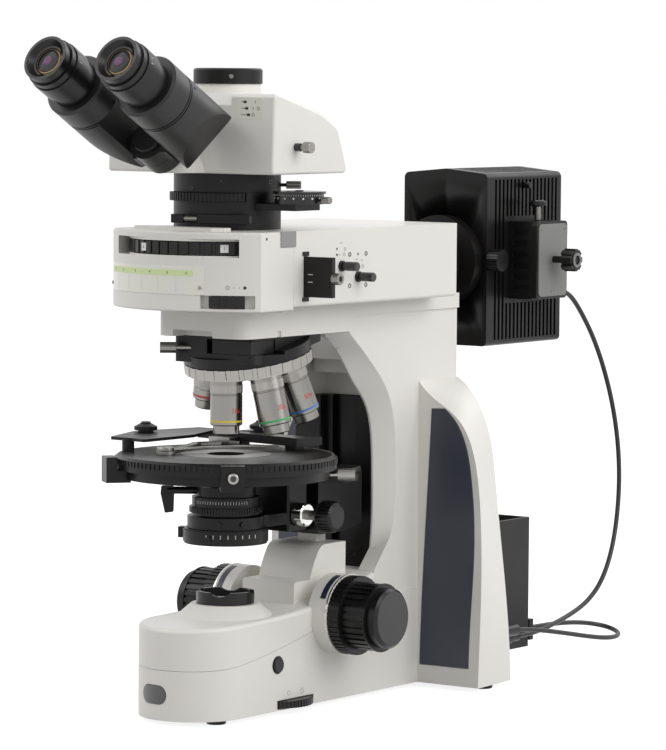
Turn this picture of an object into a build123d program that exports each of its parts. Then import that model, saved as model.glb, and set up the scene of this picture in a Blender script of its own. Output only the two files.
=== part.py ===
from build123d import *

import os
from math import atan2, cos, degrees, radians, sin, tan

os.makedirs("parts", exist_ok=True)

# Polarizing microscope, in millimetres. It is drawn about the optical axis at X = Y = 0, with +X to the
# user's right, -Y the side the user sits at and +Z up. Levels are heights above the table.

FRAME_Y = 117.3  # the origin is moved here at export, under the middle of the whole instrument

# Clearances
RUNNING_FIT = 0.05  # radial, for shafts that turn
SLIDING_GAP = 0.25  # round a slider in its slot
PANEL_GAP = 0.2  # round an inlaid panel
SEAM_GAP = 0.3  # shadow line between two shells

# Feet
FOOT_HEIGHT = 4.0
FOOT_RADIUS = 8.0
FRONT_FOOT = (29.0, -50.0)
REAR_FOOT = (92.0, 240.0)

# Base shells
BASE_HALF = 44.5
NOSE_Y = -41.0
COLUMN_FOOT_Y = 147.5
LEG_FRONT_Y = 211.0
SHELL_WALL = 4.0
BASE_FLOOR = 3.0
SEAM_POINTS = [(-95, 44.5), (-30, 47.2), (28.7, 57), (80, 68), (120, 78), (150, 84)]
ROOF_POINTS = [(-95, 76.5), (-43, 79.2), (33.9, 81.5), (75.5, 86.2), (112, 93.5), (150, 104.5)]
SEAM_REAR_Z = 84.0

# Light outlet on the base
MOUND_BASE_R = 41.0
MOUND_TOP_R = 27.6
MOUND_BASE_Z = 78.0
MOUND_TOP_Z = 89.5
OUTLET_R = 19.1
OUTLET_LEDGE_Z = 84.0
OUTLET_THROAT_R = 16.0
DIAPHRAGM_R = 23.4
DIAPHRAGM_TOP_Z = 99.6
DIAPHRAGM_NECK_R = 21.0
DIAPHRAGM_NECK_TOP_Z = 92.0
FIELD_LENS_THICKNESS = 4.0

# Base controls
WINDOW_CENTRE_X = -7.3
WINDOW_CENTRE_Z = 24.4
WINDOW_LENGTH = 26.0
WINDOW_HEIGHT = 15.0
BUTTON_Y = 11.5
BUTTON_Z = 41.3
BUTTON_R = 6.5
BUTTON_PROUD = 2.0
DIMMER_X = 20.5
DIMMER_Y = 36.0
DIMMER_R = 34.0
DIMMER_BOTTOM_Z = 5.5
DIMMER_HEIGHT = 6.0
DIMMER_PIN_R = 3.0

# Focus drive, its axis along X
FOCUS_Y = 90.6
FOCUS_Z = 75.1
COARSE_SHAFT_R = 9.0
FINE_SHAFT_R = 4.0
COLLAR_R = 33.0
COLLAR_END = 58.9
FOCUS_RING_R = 32.3
FOCUS_RING_START = COLLAR_END + SEAM_GAP
FOCUS_RING_END = FOCUS_RING_START + 10.5
BARREL_R = 27.5
BARREL_START = FOCUS_RING_END + SEAM_GAP
BARREL_END = BARREL_START + 22.5
FINE_KNOB_R = 24.5
FINE_KNOB_START = BARREL_END + SEAM_GAP
FINE_KNOB_END = FINE_KNOB_START + 9.0
BARREL_RIBS = 30

# Focus block cover on the base
BLOCK_HALF = 26.0
BLOCK_STEP_Z = 102.0
BLOCK_TOP_Z = 129.5
BLOCK_STEP_Y = 58.6
BLOCK_REAR_Y = 131.0
STOP_HALF = 9.0
STOP_FRONT_Y = 112.0
STOP_REAR_Y = 126.0
STOP_TOP_Z = 136.6

# Column and legs
ARM_HALF = 43.5
ARM_INNER_HALF = 29.0
COLUMN_REAR_Y = 268.0
COLUMN_TOP_Z = 318.0
LEG_TOP_Z = 259.0
ARM_SIDE = [(168.6, 128.1), (176.1, 144.2), (178.6, 177.6), (176.5, 218), (172, 239), (163, 256),
            (148, 272), (129.7, 288), (112, 302)]
ARM_INNER = [(163.5, 121), (165.5, 144.2), (165.5, 180), (164, 213), (159.5, 232), (151.5, 246),
             (137.5, 260), (121, 279.5), (97, 300)]
LEG_FRONT_EDGE = [(106, 4), (108.2, 75.4), (107.4, 143.2), (103.5, 182), (95.4, 211), (83, 229), (66, 240.5)]
LEG_REAR_EDGE = [(101.5, 4), (96.6, 72), (87.4, 147), (83.5, 180), (79.3, 206), (70, 231), (53, 253.1)]
PANEL_EDGE_LEFT = [(46.9, 19.5), (50, 105), (53, 160), (57, 236)]
PANEL_EDGE_RIGHT = [(70, 236.5), (87.1, 217.2), (97.5, 178), (100.8, 134.4), (96.1, 19.7)]
PANEL_THICKNESS = 1.4
PANEL_DEPTH = 1.0

# Stage guide on the column
GUIDE_HALF = 27.0
GUIDE_FRONT_Y = 165.0
GUIDE_THICKNESS = 10.0
GUIDE_BOTTOM_Z = 104.0
GUIDE_TOP_Z = 247.0
DOVETAIL_NARROW = 12.0
DOVETAIL_WIDE = 16.0
DOVETAIL_DEPTH = 6.0

# Stand head, the beam over the stage
HEAD_HALF = 45.6
HEAD_FRONT_Y = -37.0
HEAD_BOTTOM_Z = 305.5
HEAD_TOP_Z = 330.5
HEAD_STEP_Y = 109.5
BEAM_BORE_R = 16.0

# Illuminator
LAMP_HALF = 73.5
FRONT_JOINT_Y = -10.0
LAMP_REAR_Y = 225.0
LAMP_TOP_Z = 391.5
LAMP_COVER = 3.0
LAMP_WALL = 4.0
FACE_ARC_R = 110.0
FACE_ARC_Y = 28.0
FRONT_BOTTOM_Z = 328.5
SELECTOR_Y = -11.5
SELECTOR_R = 70.4
SELECTOR_INNER_R = 58.0
SELECTOR_BOTTOM_Z = 373.6
SELECTOR_TOP_Z = 383.4
SELECTOR_CHANNEL_R = 71.1
SLOT_HALF = 60.0
SLOT_BOTTOM_Z = 371.8
SLOT_TOP_Z = 386.2
SHUTTER_START_DEG = 20.5
SHUTTER_END_DEG = 35.4
SHUTTER_PLAY_DEG = 3.8
SHUTTER_BOTTOM_Z = 332.0
SHUTTER_TOP_Z = 341.6
SHUTTER_THICKNESS = 5.0
FILTER_SLAB_Y = 5.5
FILTER_SLAB_THICKNESS = 4.6
FILTER_SLAB_BOTTOM_Z = 339.0
FILTER_SLAB_TOP_Z = 371.0
FILTER_SLAB_START = 14.0
FILTER_SLAB_END = LAMP_HALF + 27.5
FILTER_SLAB_HOLE_R = 12.0
FILTER_NUT_Z = 354.3
UPPER_ROD_YZ = (55.0, 361.7)
LOWER_ROD_YZ = (78.0, 352.4)
PULL_ROD_R = 2.5
PULL_KNOB_R = 4.6
PULL_ROD_START = LAMP_HALF - 33.5
PULL_KNOB_START = LAMP_HALF + 2.5
PULL_KNOB_END = PULL_KNOB_START + 14.5
LIGHT_BORE_R = 16.0

# Intermediate tube
TUBE_R = 43.0
TUBE_TOP_Z = 436.6
CONO_R = 40.0
CONO_INNER_R = 30.0
CONO_BOTTOM_Z = 414.2
CONO_TOP_Z = 420.8
CONO_CENTRE = (-1.5, -8.4)
COMP_ANGLE = 20.0
COMP_OFFSET = 42.0
COMP_DEPTH = 8.0
COMP_BOTTOM_Z = 397.0
COMP_TOP_Z = 404.0
COMP_HALF_LENGTH = 33.0
ANALYZER_HALF = 16.5
ANALYZER_START = -14.0
ANALYZER_END = 79.3
ANALYZER_BOTTOM_Z = 407.6
ANALYZER_TOP_Z = 412.6
ANALYZER_LENS_R = 11.0
DIAL_X = 71.0
DIAL_R = 21.0
DIAL_TOP_Z = 422.8
DIAL_PIN_R = 4.0
TUBE_SCREW_ANGLE = 35.3
TUBE_SCREW_Z = 426.5
TUBE_SCREW_END = 59.0

# Head with the binocular tubes
BODY_HALF = 82.0
BODY_SIDE = [(-50.5, TUBE_TOP_Z), (-48.5, 500.8), (16.7, 483.4), (37.3, 471.8), (51.3, TUBE_TOP_Z)]
BODY_SIDE_RADII = [2.5, 3.5, 30.0, 8.0, 4.0]
TOWER_R = 26.4
TOWER_TOP_Z = 507.0
PORT_R = 27.7
PORT_TOP_Z = 519.0
PORT_BORE_R = 19.0
SPLITTER_Y = -20.0
SPLITTER_Z = 458.0
SPLITTER_ROD_R = 2.0
SPLITTER_KNOB_R = 4.2
SPLITTER_END = BODY_HALF + 15.5
EYE_TILT = 29.0
EYE_HALF_SPACING = 34.7
TUBE_END_Y = -69.4
TUBE_END_Z = 460.7
HOUSING_R = 26.5
HOUSING_LENGTH = 94.0
HOUSING_FLAT = 15.0
HOUSING_GROOVE = 69.0
PIVOT_DROP = 12.0
PIVOT_PIN_R = 9.0
LUG_R = 18.3
LEFT_LUG = (5.5, 17.5)
RIGHT_LUG = (17.8, 29.8)
PIVOT_BOSS_R = 15.0
EYEPIECE_TUBE_R = 15.0
EYEPIECE_TUBE_DEPTH = 22.0
EYEPIECE_STEPS = [(20.0, 12.0), (21.5, 16.0), (20.5, 6.0), (19.0, 7.6)]
EYE_LENS_R = 12.0

# Nosepiece
MOUNT_HALF = 39.5
MOUNT_FRONT_Y = -19.0
MOUNT_REAR_Y = 78.0
MOUNT_BOTTOM_Z = 284.0
LOCK_SCREW_X = -25.0
LOCK_SCREW_Z = 295.5
LOCK_SCREW_ANGLE = -144.7
TURRET_TILT = 12.0
OBJECTIVE_CIRCLE_R = 32.0
SEAT_Z = 268.8
RING_R = 52.4
RING_LOW = 5.0
RING_HIGH = 13.6
DOME_R = 51.5
DOME_LOW = 14.0
DOME_HIGH = 22.7
TURRET_PIN_R = 6.0
TURRET_PLACES = 6
RING_FLUTES = 30
OBJECTIVE_R = 13.0
OBJECTIVE_NOSE_R = 10.7
THREAD_R = 10.0
THREAD_DEPTH = 5.0
OBJECTIVE_LENGTHS = {-60: 27.5, 0: 42.8, 60: 46.0, 120: 46.3}
OBJECTIVE_NOSE_LENGTH = 7.2
SLOT_SLIDER_TOP_Z = 303.0
SLOT_SLIDER_BOTTOM_Z = 292.0

# Stage
STAGE_R = 90.0
STAGE_BOTTOM_Z = 199.0
STAGE_TOP_Z = 210.0
STAGE_HOLE_R = 15.0
STAGE_RIBS = 120
PLATE_R = 84.0
PLATE_BOTTOM_Z = 191.5
PLATE_TOP_Z = 198.7
STAGE_BEARING_R = 40.0
BRACKET_HALF = 30.0
BRACKET_FRONT_Y = 86.0
BRACKET_REAR_Y = 148.0
BRACKET_BOTTOM_Z = 139.0
VERNIER_DEG = (-50.0, -130.0)
VERNIER_HALF = 9.5
VERNIER_INNER_R = 91.0
VERNIER_OUTER_R = 100.0
STAGE_LOCK_ANGLE = 35.3
STAGE_LOCK_Z = 194.0
STAGE_LOCK_STEM_R = 1.8
HOLDER_TURN = -8.0
RAIL_BOTTOM_Z = STAGE_TOP_Z + 3.0
RAIL_FRONT = 62.0
HOLDER_PLATE_TOP_Z = RAIL_BOTTOM_Z + 7.5
SIDE_PLATE_POINTS = [(-95, -30), (-71, -30), (-58, -33), (-54, 28), (-70, 84), (-92, 86), (-112, 23)]
FINGER_PIVOT = (-34.0, -36.0)
FINGER_TIP = (17.0, 49.0)
FINGER_BOW = 5.0
FINGER_PIN_R = 2.5
CARRIAGE_ELBOW = (-62.0, 44.0)
LEFT_KNOB_SPOT = (-99.0, 22.0)
RIGHT_KNOB_SPOT = (-33.0, 92.0)

# Condenser
CONDENSER_PLATE_FRONT_Y = 45.0
CONDENSER_PLATE_REAR_Y = 71.5
CONDENSER_PLATE_HALF = 29.5
CONDENSER_PLATE_BOTTOM_Z = 145.0
CONDENSER_PLATE_TOP_Z = 184.0
CONDENSER_FIT_R = 21.0
LENS_TOP_Z = 184.3
CONDENSER_HEAD_R = 24.0
LEVER_ANGLE = -144.7
LEVER_Z = 180.3
LEVER_STUB_R = 3.0
LEVER_END = 47.0
APERTURE_R = 28.5
APERTURE_BOTTOM_Z = 162.0
APERTURE_TOP_Z = 176.0
FORK_BOTTOM_Z = 151.0
FORK_TOP_Z = 160.5
POLARIZER_R = 34.5
POLARIZER_BOTTOM_Z = 138.6
POLARIZER_TOP_Z = 150.7
CONDENSER_KNOB_Y = 57.0
CONDENSER_KNOB_Z = 158.5
CONDENSER_KNOB_R = 12.6

# Lamp house
HOUSE_HALF = 43.0
HOUSE_FRONT_Y = 314.0
HOUSE_REAR_Y = 432.0
HOUSE_BOTTOM_Z = 282.0
HOUSE_TOP_Z = 430.0
HOUSE_RIDGE_Z = 434.0
HOUSE_RIB_PITCH = 6.0
HOUSE_RIB_DEPTH = 3.0
COLLAR_TUBE_R = 24.0
COLLAR_FLANGE_R = 39.0
COLLAR_BORE_R = 19.0
LAMP_AXIS_Z = 355.0
SOCKET_END = 72.0
SOCKET_Y = (348.0, 397.0)
SOCKET_Z = (322.0, 389.0)
COLLECTOR_Y = 320.6
COLLECTOR_Z = 356.0
COLLECTOR_R = 9.5
STAR_Y = 374.0
STAR_R = 10.0

# Power supply
SUPPLY_HALF = 70.0
SUPPLY_REAR_Y = 346.0
SUPPLY_BOTTOM_Z = 22.0
SUPPLY_TOP_Z = 134.2

# Cables. Their points are laid by hand along what the photograph shows.
CABLE_R = 2.1
LAMP_CABLE_POINTS = [(60, 405.3, 327), (60.2, 416, 326), (61.2, 433, 313), (64, 458, 281), (67, 477, 240.4),
                     (70, 487, 199.8), (72.5, 488.5, 160), (75, 481, 122), (77, 468, 91), (79, 449, 68),
                     (80.5, 424, 53.5), (82, 396, 46), (83, 369, 41), (84, 344, 37.5), (84, 324, 36),
                     (84, 305.3, 36)]
SUPPLY_CABLE_POINTS = [(92, 290.3, 44), (94, 312, 42), (97, 337, 38), (100, 362, 33.5), (104, 388, 28.5),
                       (107, 412, 24.8), (107, 431, 24), (99.5, 446, 25.5), (86, 451, 28.5), (75, 442.5, 31.5),
                       (71, 426, 34), (68.5, 408, 35.5), (66, 389, 36.2), (64, 370, 36), (62, 352.3, 36)]
GLAND_XZ = (60.0, 327.0)
LAMP_PLUG_XZ = (84.0, 36.0)
SUPPLY_PLUG_XZ = (92.0, 44.0)
SUPPLY_SOCKET_XZ = (62.0, 36.0)
PLUG_R = 5.0


def prism_x(points, low, high, radii=0.0):
    """Solid from an outline in Y and Z, from X low to X high."""
    face = make_face(FilletPolyline(*points, radius=radii, close=True))
    plane = Plane(origin=(low, 0, 0), x_dir=(0, 1, 0), z_dir=(1, 0, 0))
    return extrude(plane * face, amount=high - low)


def prism_y(points, low, high, radii=0.0):
    """Solid from an outline in X and Z, from Y low to Y high."""
    face = make_face(FilletPolyline(*points, radius=radii, close=True))
    plane = Plane(origin=(0, high, 0), x_dir=(1, 0, 0), z_dir=(0, -1, 0))
    return extrude(plane * face, amount=high - low)


def prism_z(points, low, high, radii=0.0):
    """Solid from an outline in X and Y, from Z low to Z high."""
    face = make_face(FilletPolyline(*points, radius=radii, close=True))
    return extrude(Pos(0, 0, low) * face, amount=high - low)


def block(x, y, z):
    """Box between two limits on each axis."""
    size = (x[1] - x[0], y[1] - y[0], z[1] - z[0])
    centre = ((x[0] + x[1]) / 2, (y[0] + y[1]) / 2, (z[0] + z[1]) / 2)
    return Pos(*centre) * Box(*size)


def rod(start, end, radius):
    """Round bar from one point to another."""
    way = Vector(*end) - Vector(*start)
    plane = Plane(origin=start, z_dir=way)
    return plane * Cylinder(radius, way.length, align=(Align.CENTER, Align.CENTER, Align.MIN))


def disc(centre, radius, low, high):
    """Upright cylinder."""
    return rod((centre[0], centre[1], low), (centre[0], centre[1], high), radius)


def ribbed(start, end, radius, count, depth):
    """Round bar with a ribbed rim: a toothed outline carried along the axis."""
    way = Vector(*end) - Vector(*start)
    plane = Plane(origin=start, z_dir=way)
    turn = 360.0 / count
    points = []
    for index in range(count):
        for share, r in ((-0.3, radius), (0.3, radius), (0.34, radius - depth), (0.66, radius - depth)):
            angle = radians(turn * (index + share))
            points.append((r * cos(angle), r * sin(angle)))
    face = make_face(Polyline(*points, close=True))
    return extrude(plane * face, amount=way.length)


def both_sides(shape):
    """The shape and its mirror image on the other side of the YZ plane."""
    return shape, mirror(shape, about=Plane.YZ)


def write(name, *pieces):
    """One STEP file with every solid of the given pieces."""
    solids = [Pos(0, -FRAME_Y, 0) * solid for piece in pieces for solid in piece.solids()]
    export_step(solids[0] if len(solids) == 1 else Compound(solids), f"parts/{name}.step")


# Base


def base_plan(half, rear):
    """Plan of the base: straight sides and a round nose."""
    nose = ThreePointArc((-half, NOSE_Y), (0, NOSE_Y - half), (half, NOSE_Y))
    sides = Polyline((half, NOSE_Y), (half, rear), (-half, rear), (-half, NOSE_Y))
    return make_face(nose + sides)


def under_line(points, shift, rear_z):
    """Everything below a line drawn on the side of the base."""
    curve = Spline(*[(y, z + shift) for y, z in points])
    last = points[-1]
    ends = Polyline((last[0], last[1] + shift), (LEG_FRONT_Y + 9, rear_z + shift), (LEG_FRONT_Y + 9, -20),
                    (points[0][0], -20), (points[0][0], points[0][1] + shift))
    plane = Plane(origin=(-80, 0, 0), x_dir=(0, 1, 0), z_dir=(1, 0, 0))
    return extrude(plane * make_face(curve + ends), amount=160)


def focus_bore(radius):
    """Through hole along the focus axis."""
    return rod((-80, FOCUS_Y, FOCUS_Z), (80, FOCUS_Y, FOCUS_Z), radius)


def window_plan(grow):
    """Stadium outline of the sensor window on the nose, carried along Y."""
    half = WINDOW_HEIGHT / 2 + grow
    reach = WINDOW_LENGTH / 2 - WINDOW_HEIGHT / 2
    face = Pos(WINDOW_CENTRE_X, WINDOW_CENTRE_Z) * SlotCenterToCenter(2 * reach, 2 * half)
    plane = Plane(origin=(0, NOSE_Y - BASE_HALF + 8, 0), x_dir=(1, 0, 0), z_dir=(0, -1, 0))
    return extrude(plane * face, amount=20)


def base_lower_shell():
    """Tray with the window, the button's hole, the dimmer's slot and the shaft's passage."""
    shell = extrude(Pos(0, 0, FOOT_HEIGHT) * base_plan(BASE_HALF, LEG_FRONT_Y), amount=100)
    shell = shell & under_line(SEAM_POINTS, 0, SEAM_REAR_Z)
    inside = base_plan(BASE_HALF - SHELL_WALL, LEG_FRONT_Y - SHELL_WALL)
    shell = shell - extrude(Pos(0, 0, FOOT_HEIGHT + BASE_FLOOR) * inside, amount=100)
    floor = FOOT_HEIGHT + BASE_FLOOR
    dimmer_room = disc((DIMMER_X, DIMMER_Y), DIMMER_R + 0.6, DIMMER_BOTTOM_Z - 0.4,
                       DIMMER_BOTTOM_Z + DIMMER_HEIGHT + 0.6)
    shell = shell - dimmer_room
    shell = shell + disc((DIMMER_X, DIMMER_Y), DIMMER_PIN_R, FOOT_HEIGHT + 1, floor + 5)
    shell = shell - rod((30, BUTTON_Y, BUTTON_Z), (60, BUTTON_Y, BUTTON_Z), BUTTON_R + SLIDING_GAP)
    skin = extrude(base_plan(BASE_HALF + 5, 0), amount=100) - extrude(base_plan(BASE_HALF - 2.5, 1), amount=100)
    shell = shell - (window_plan(PANEL_GAP) & skin)
    shell = shell - focus_bore(COARSE_SHAFT_R + RUNNING_FIT)
    write("base_lower_shell", shell)


def clear_windows():
    """Smoked sensor window on the nose and the field lens in the light outlet."""
    skin = extrude(base_plan(BASE_HALF + 0.4, 0), amount=100) - extrude(base_plan(BASE_HALF - 2.3, 1), amount=100)
    sensor = window_plan(0) & skin
    lens = disc((0, 0), OUTLET_R - PANEL_GAP, OUTLET_LEDGE_Z, OUTLET_LEDGE_Z + FIELD_LENS_THICKNESS)
    bulge = Pos(0, 0, OUTLET_LEDGE_Z + FIELD_LENS_THICKNESS + 2 - 90) * Sphere(90)
    lens = lens & bulge
    write("clear_windows", sensor, lens)


def focus_block():
    """Cover of the focus drive behind the light mound, with the stage's lower stop on top."""
    front = Spline((79.5, 98), (85, 112.3), (90.2, 121.4), (101.5, BLOCK_TOP_Z),
                   tangents=[(0.3, 1), (1, 0.1)])
    rest = Polyline((101.5, BLOCK_TOP_Z), (BLOCK_REAR_Y, BLOCK_TOP_Z), (BLOCK_REAR_Y, 86), (79.5, 86), (79.5, 98))
    plane = Plane(origin=(-BLOCK_HALF, 0, 0), x_dir=(0, 1, 0), z_dir=(1, 0, 0))
    cover = extrude(plane * make_face(front + rest), amount=2 * BLOCK_HALF)
    step = prism_x([(BLOCK_STEP_Y, 78), (BLOCK_STEP_Y, BLOCK_STEP_Z), (95, BLOCK_STEP_Z), (95, 78)],
                   -BLOCK_HALF, BLOCK_HALF, [0, 3, 0, 0])
    stop = block((-STOP_HALF, STOP_HALF), (STOP_FRONT_Y, STOP_REAR_Y), (BLOCK_TOP_Z - 3, STOP_TOP_Z))
    return cover + step + stop


def base_upper_shell():
    """Cover with the light mound, the collars of the focus knobs and the focus block."""
    cover = extrude(Pos(0, 0, 30) * base_plan(BASE_HALF, COLUMN_FOOT_Y - SEAM_GAP), amount=100)
    cover = cover & under_line(ROOF_POINTS, 0, 104.5)
    cover = cover - under_line(SEAM_POINTS, SEAM_GAP, SEAM_REAR_Z)
    rim = cover.edges().filter_by(lambda edge: edge.center().Z > 76 and abs(edge.center().X) > BASE_HALF - 1
                                  and edge.length > 100)
    cover = fillet(rim, 4.0)
    inside = base_plan(BASE_HALF - SHELL_WALL, COLUMN_FOOT_Y - SEAM_GAP - SHELL_WALL)
    room = extrude(Pos(0, 0, 30) * inside, amount=100) & under_line(ROOF_POINTS, -6.0, 98)
    mound = Pos(0, 0, MOUND_BASE_Z) * Cone(MOUND_BASE_R, MOUND_TOP_R, MOUND_TOP_Z - MOUND_BASE_Z,
                                           align=(Align.CENTER, Align.CENTER, Align.MIN))
    cover = cover + mound
    cover = cover + disc((0, 0), DIAPHRAGM_NECK_R, MOUND_TOP_Z - 1, DIAPHRAGM_NECK_TOP_Z)
    cover = cover + focus_block() - room
    for side in (-1, 1):
        cover = cover + rod((side * (BASE_HALF - SHELL_WALL), FOCUS_Y, FOCUS_Z),
                            (side * COLLAR_END, FOCUS_Y, FOCUS_Z), COLLAR_R)
    keep_low = under_line(SEAM_POINTS, SEAM_GAP, SEAM_REAR_Z) & block((-BASE_HALF, BASE_HALF), (-90, 220), (0, 120))
    cover = cover - keep_low
    cover = cover - disc((0, 0), OUTLET_R, OUTLET_LEDGE_Z, MOUND_TOP_Z + 5)
    cover = cover - disc((0, 0), OUTLET_THROAT_R, 60, MOUND_TOP_Z)
    cover = cover - focus_bore(COARSE_SHAFT_R + RUNNING_FIT)
    write("base_upper_shell", cover)


def rubber_feet():
    """Round feet, two under the base and two under the legs."""
    feet = []
    for place in (FRONT_FOOT, REAR_FOOT):
        for side in (-1, 1):
            foot = disc((side * place[0], place[1]), FOOT_RADIUS, 0, FOOT_HEIGHT)
            feet.append(chamfer(foot.edges().sort_by(Axis.Z)[0], 0.8))
    write("rubber_feet", *feet)


def field_diaphragm_ring():
    """Black cup round the light outlet, its rim cut down on two sides for the fingers."""
    ring = disc((0, 0), DIAPHRAGM_R, MOUND_TOP_Z + 0.1, DIAPHRAGM_TOP_Z)
    ring = ring - disc((0, 0), DIAPHRAGM_NECK_R + RUNNING_FIT, MOUND_TOP_Z, DIAPHRAGM_NECK_TOP_Z + 0.3)
    ring = ring - disc((0, 0), OUTLET_R + 0.6, MOUND_TOP_Z, DIAPHRAGM_TOP_Z + 1)
    for angle in (25, 115):
        reach = Vector(40, 0, 0).rotate(Axis.Z, angle)
        dip = rod((-reach.X, -reach.Y, DIAPHRAGM_TOP_Z + 9), (reach.X, reach.Y, DIAPHRAGM_TOP_Z + 9), 12)
        ring = ring - dip
    write("field_diaphragm_ring", ring)


def light_button():
    """Push button of the lamp switch, with the flange that keeps it in the shell."""
    inner = BASE_HALF - SHELL_WALL
    button = rod((inner - 6, BUTTON_Y, BUTTON_Z), (BASE_HALF + BUTTON_PROUD, BUTTON_Y, BUTTON_Z), BUTTON_R)
    button = chamfer(button.edges().sort_by(Axis.X)[-1], 0.8)
    flange = rod((inner - 3.5, BUTTON_Y, BUTTON_Z), (inner - 0.3, BUTTON_Y, BUTTON_Z), BUTTON_R + 1.5)
    write("light_button", button + flange)


def dimmer_wheel():
    """Thumb wheel of the lamp dimmer, flat on the floor of the base."""
    low = (DIMMER_X, DIMMER_Y, DIMMER_BOTTOM_Z)
    high = (DIMMER_X, DIMMER_Y, DIMMER_BOTTOM_Z + DIMMER_HEIGHT)
    wheel = ribbed(low, high, DIMMER_R, 60, 0.8)
    write("dimmer_wheel", wheel - rod(low, high, DIMMER_PIN_R + RUNNING_FIT))


# Focus drive


def focus_rings():
    """Tension ring on the right and coarse stop ring on the left."""
    for name, side in (("tension_ring", 1), ("stop_ring", -1)):
        start = (side * FOCUS_RING_START, FOCUS_Y, FOCUS_Z)
        end = (side * FOCUS_RING_END, FOCUS_Y, FOCUS_Z)
        ring = ribbed(start, end, FOCUS_RING_R, 48, 0.8)
        write(name, ring - rod(start, end, COARSE_SHAFT_R + RUNNING_FIT))


def coarse_knobs():
    """Both coarse knobs and the hollow shaft between them."""
    shaft = rod((-BARREL_START, FOCUS_Y, FOCUS_Z), (BARREL_START, FOCUS_Y, FOCUS_Z), COARSE_SHAFT_R)
    for side in (-1, 1):
        start = (side * BARREL_START, FOCUS_Y, FOCUS_Z)
        end = (side * BARREL_END, FOCUS_Y, FOCUS_Z)
        shaft = shaft + ribbed(start, end, BARREL_R, BARREL_RIBS, 1.4)
    reach = BARREL_END + 1
    bore = rod((-reach, FOCUS_Y, FOCUS_Z), (reach, FOCUS_Y, FOCUS_Z), FINE_SHAFT_R + RUNNING_FIT)
    write("coarse_knobs", shaft - bore)


def fine_knobs():
    """Both fine knobs and the inner shaft between them."""
    shaft = rod((-FINE_KNOB_START, FOCUS_Y, FOCUS_Z), (FINE_KNOB_START, FOCUS_Y, FOCUS_Z), FINE_SHAFT_R)
    for side in (-1, 1):
        knob = rod((side * FINE_KNOB_START, FOCUS_Y, FOCUS_Z), (side * FINE_KNOB_END, FOCUS_Y, FOCUS_Z),
                   FINE_KNOB_R)
        far = knob.edges().filter_by(GeomType.CIRCLE).sort_by(lambda edge: side * edge.center().X)[-1]
        shaft = shaft + chamfer(far, 2.2)
    write("fine_knobs", shaft)


# Column


def leg_outline(edge, y, top_half):
    """Front view of both legs at one depth, as a face between two mirrored splines."""
    right = Spline(*edge, (top_half, LEG_TOP_Z))
    left = Spline(*[(-x, z) for x, z in edge], (-top_half, LEG_TOP_Z))
    top = Line((top_half, LEG_TOP_Z), (-top_half, LEG_TOP_Z))
    bottom = Line((-edge[0][0], edge[0][1]), edge[0])
    plane = Plane(origin=(0, y, 0), x_dir=(1, 0, 0), z_dir=(0, -1, 0))
    return plane * make_face(right + top + left + bottom)


def arm_outline(edge, x, foot_y, top_y):
    """Side view of the arm at one width."""
    curve = Spline(*edge)
    first, last = edge[0], edge[-1]
    rest = Polyline(last, (top_y, HEAD_BOTTOM_Z), (HEAD_STEP_Y, HEAD_BOTTOM_Z), (HEAD_STEP_Y, COLUMN_TOP_Z),
                    (COLUMN_REAR_Y, COLUMN_TOP_Z), (COLUMN_REAR_Y, SEAM_REAR_Z), (foot_y, SEAM_REAR_Z),
                    (foot_y, 104.2), first)
    plane = Plane(origin=(x, 0, 0), x_dir=(0, 1, 0), z_dir=(1, 0, 0))
    return plane * make_face(curve + rest)


def stand_column():
    """Arm with bevelled front edges on two splayed legs, hollow from below."""
    arm = extrude(arm_outline(ARM_INNER, -ARM_INNER_HALF, COLUMN_FOOT_Y, 93.0), amount=2 * ARM_INNER_HALF)
    outer = arm_outline(ARM_SIDE, ARM_HALF, COLUMN_FOOT_Y, 109.0)
    inner = arm_outline(ARM_INNER, ARM_INNER_HALF, COLUMN_FOOT_Y, 93.0)
    cheek = loft([inner, outer], ruled=True)
    arm = arm + cheek + mirror(cheek, about=Plane.YZ)
    legs = loft([leg_outline(LEG_FRONT_EDGE, LEG_FRONT_Y, 43.5), leg_outline(LEG_REAR_EDGE, COLUMN_REAR_Y, 44.5)],
                ruled=True)
    column = arm + legs
    column = column - block((-78, 78), (LEG_FRONT_Y + 8, COLUMN_REAR_Y - 8), (0, 190))
    column = column - block((-33, 33), (196, COLUMN_REAR_Y - 8), (SEAM_REAR_Z + 6, COLUMN_TOP_Z - 14))
    column = column - block((-GUIDE_HALF - PANEL_GAP, GUIDE_HALF + PANEL_GAP),
                            (120, GUIDE_FRONT_Y + GUIDE_THICKNESS), (GUIDE_BOTTOM_Z, HEAD_BOTTOM_Z))
    column = column - panel_solid(PANEL_GAP, LEG_FRONT_Y - 5, LEG_FRONT_Y + PANEL_DEPTH)
    column = column - mirror(panel_solid(PANEL_GAP, LEG_FRONT_Y - 5, LEG_FRONT_Y + PANEL_DEPTH), about=Plane.YZ)
    column = column + block((-GUIDE_HALF + 6, GUIDE_HALF - 6), (150, GUIDE_FRONT_Y + GUIDE_THICKNESS),
                            (GUIDE_TOP_Z + 20, HEAD_BOTTOM_Z))
    write("stand_column", column)


def panel_solid(grow, near, far):
    """Inlay panel of the right leg, grown on its outline by a clearance."""
    middle_z = sum(z for x, z in PANEL_EDGE_LEFT) / len(PANEL_EDGE_LEFT)
    stretch = 1 + 2 * grow / (PANEL_EDGE_LEFT[-1][1] - PANEL_EDGE_LEFT[0][1])
    left_points = [(x - grow, middle_z + (z - middle_z) * stretch) for x, z in PANEL_EDGE_LEFT]
    right_points = [(x + grow, middle_z + (z - middle_z) * stretch) for x, z in PANEL_EDGE_RIGHT]
    left = Spline(*left_points)
    right = Spline(*right_points)
    top = Line(left_points[-1], right_points[0])
    bottom = Line(right_points[-1], left_points[0])
    plane = Plane(origin=(0, far, 0), x_dir=(1, 0, 0), z_dir=(0, -1, 0))
    return extrude(plane * make_face(left + top + right + bottom), amount=far - near)


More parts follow.
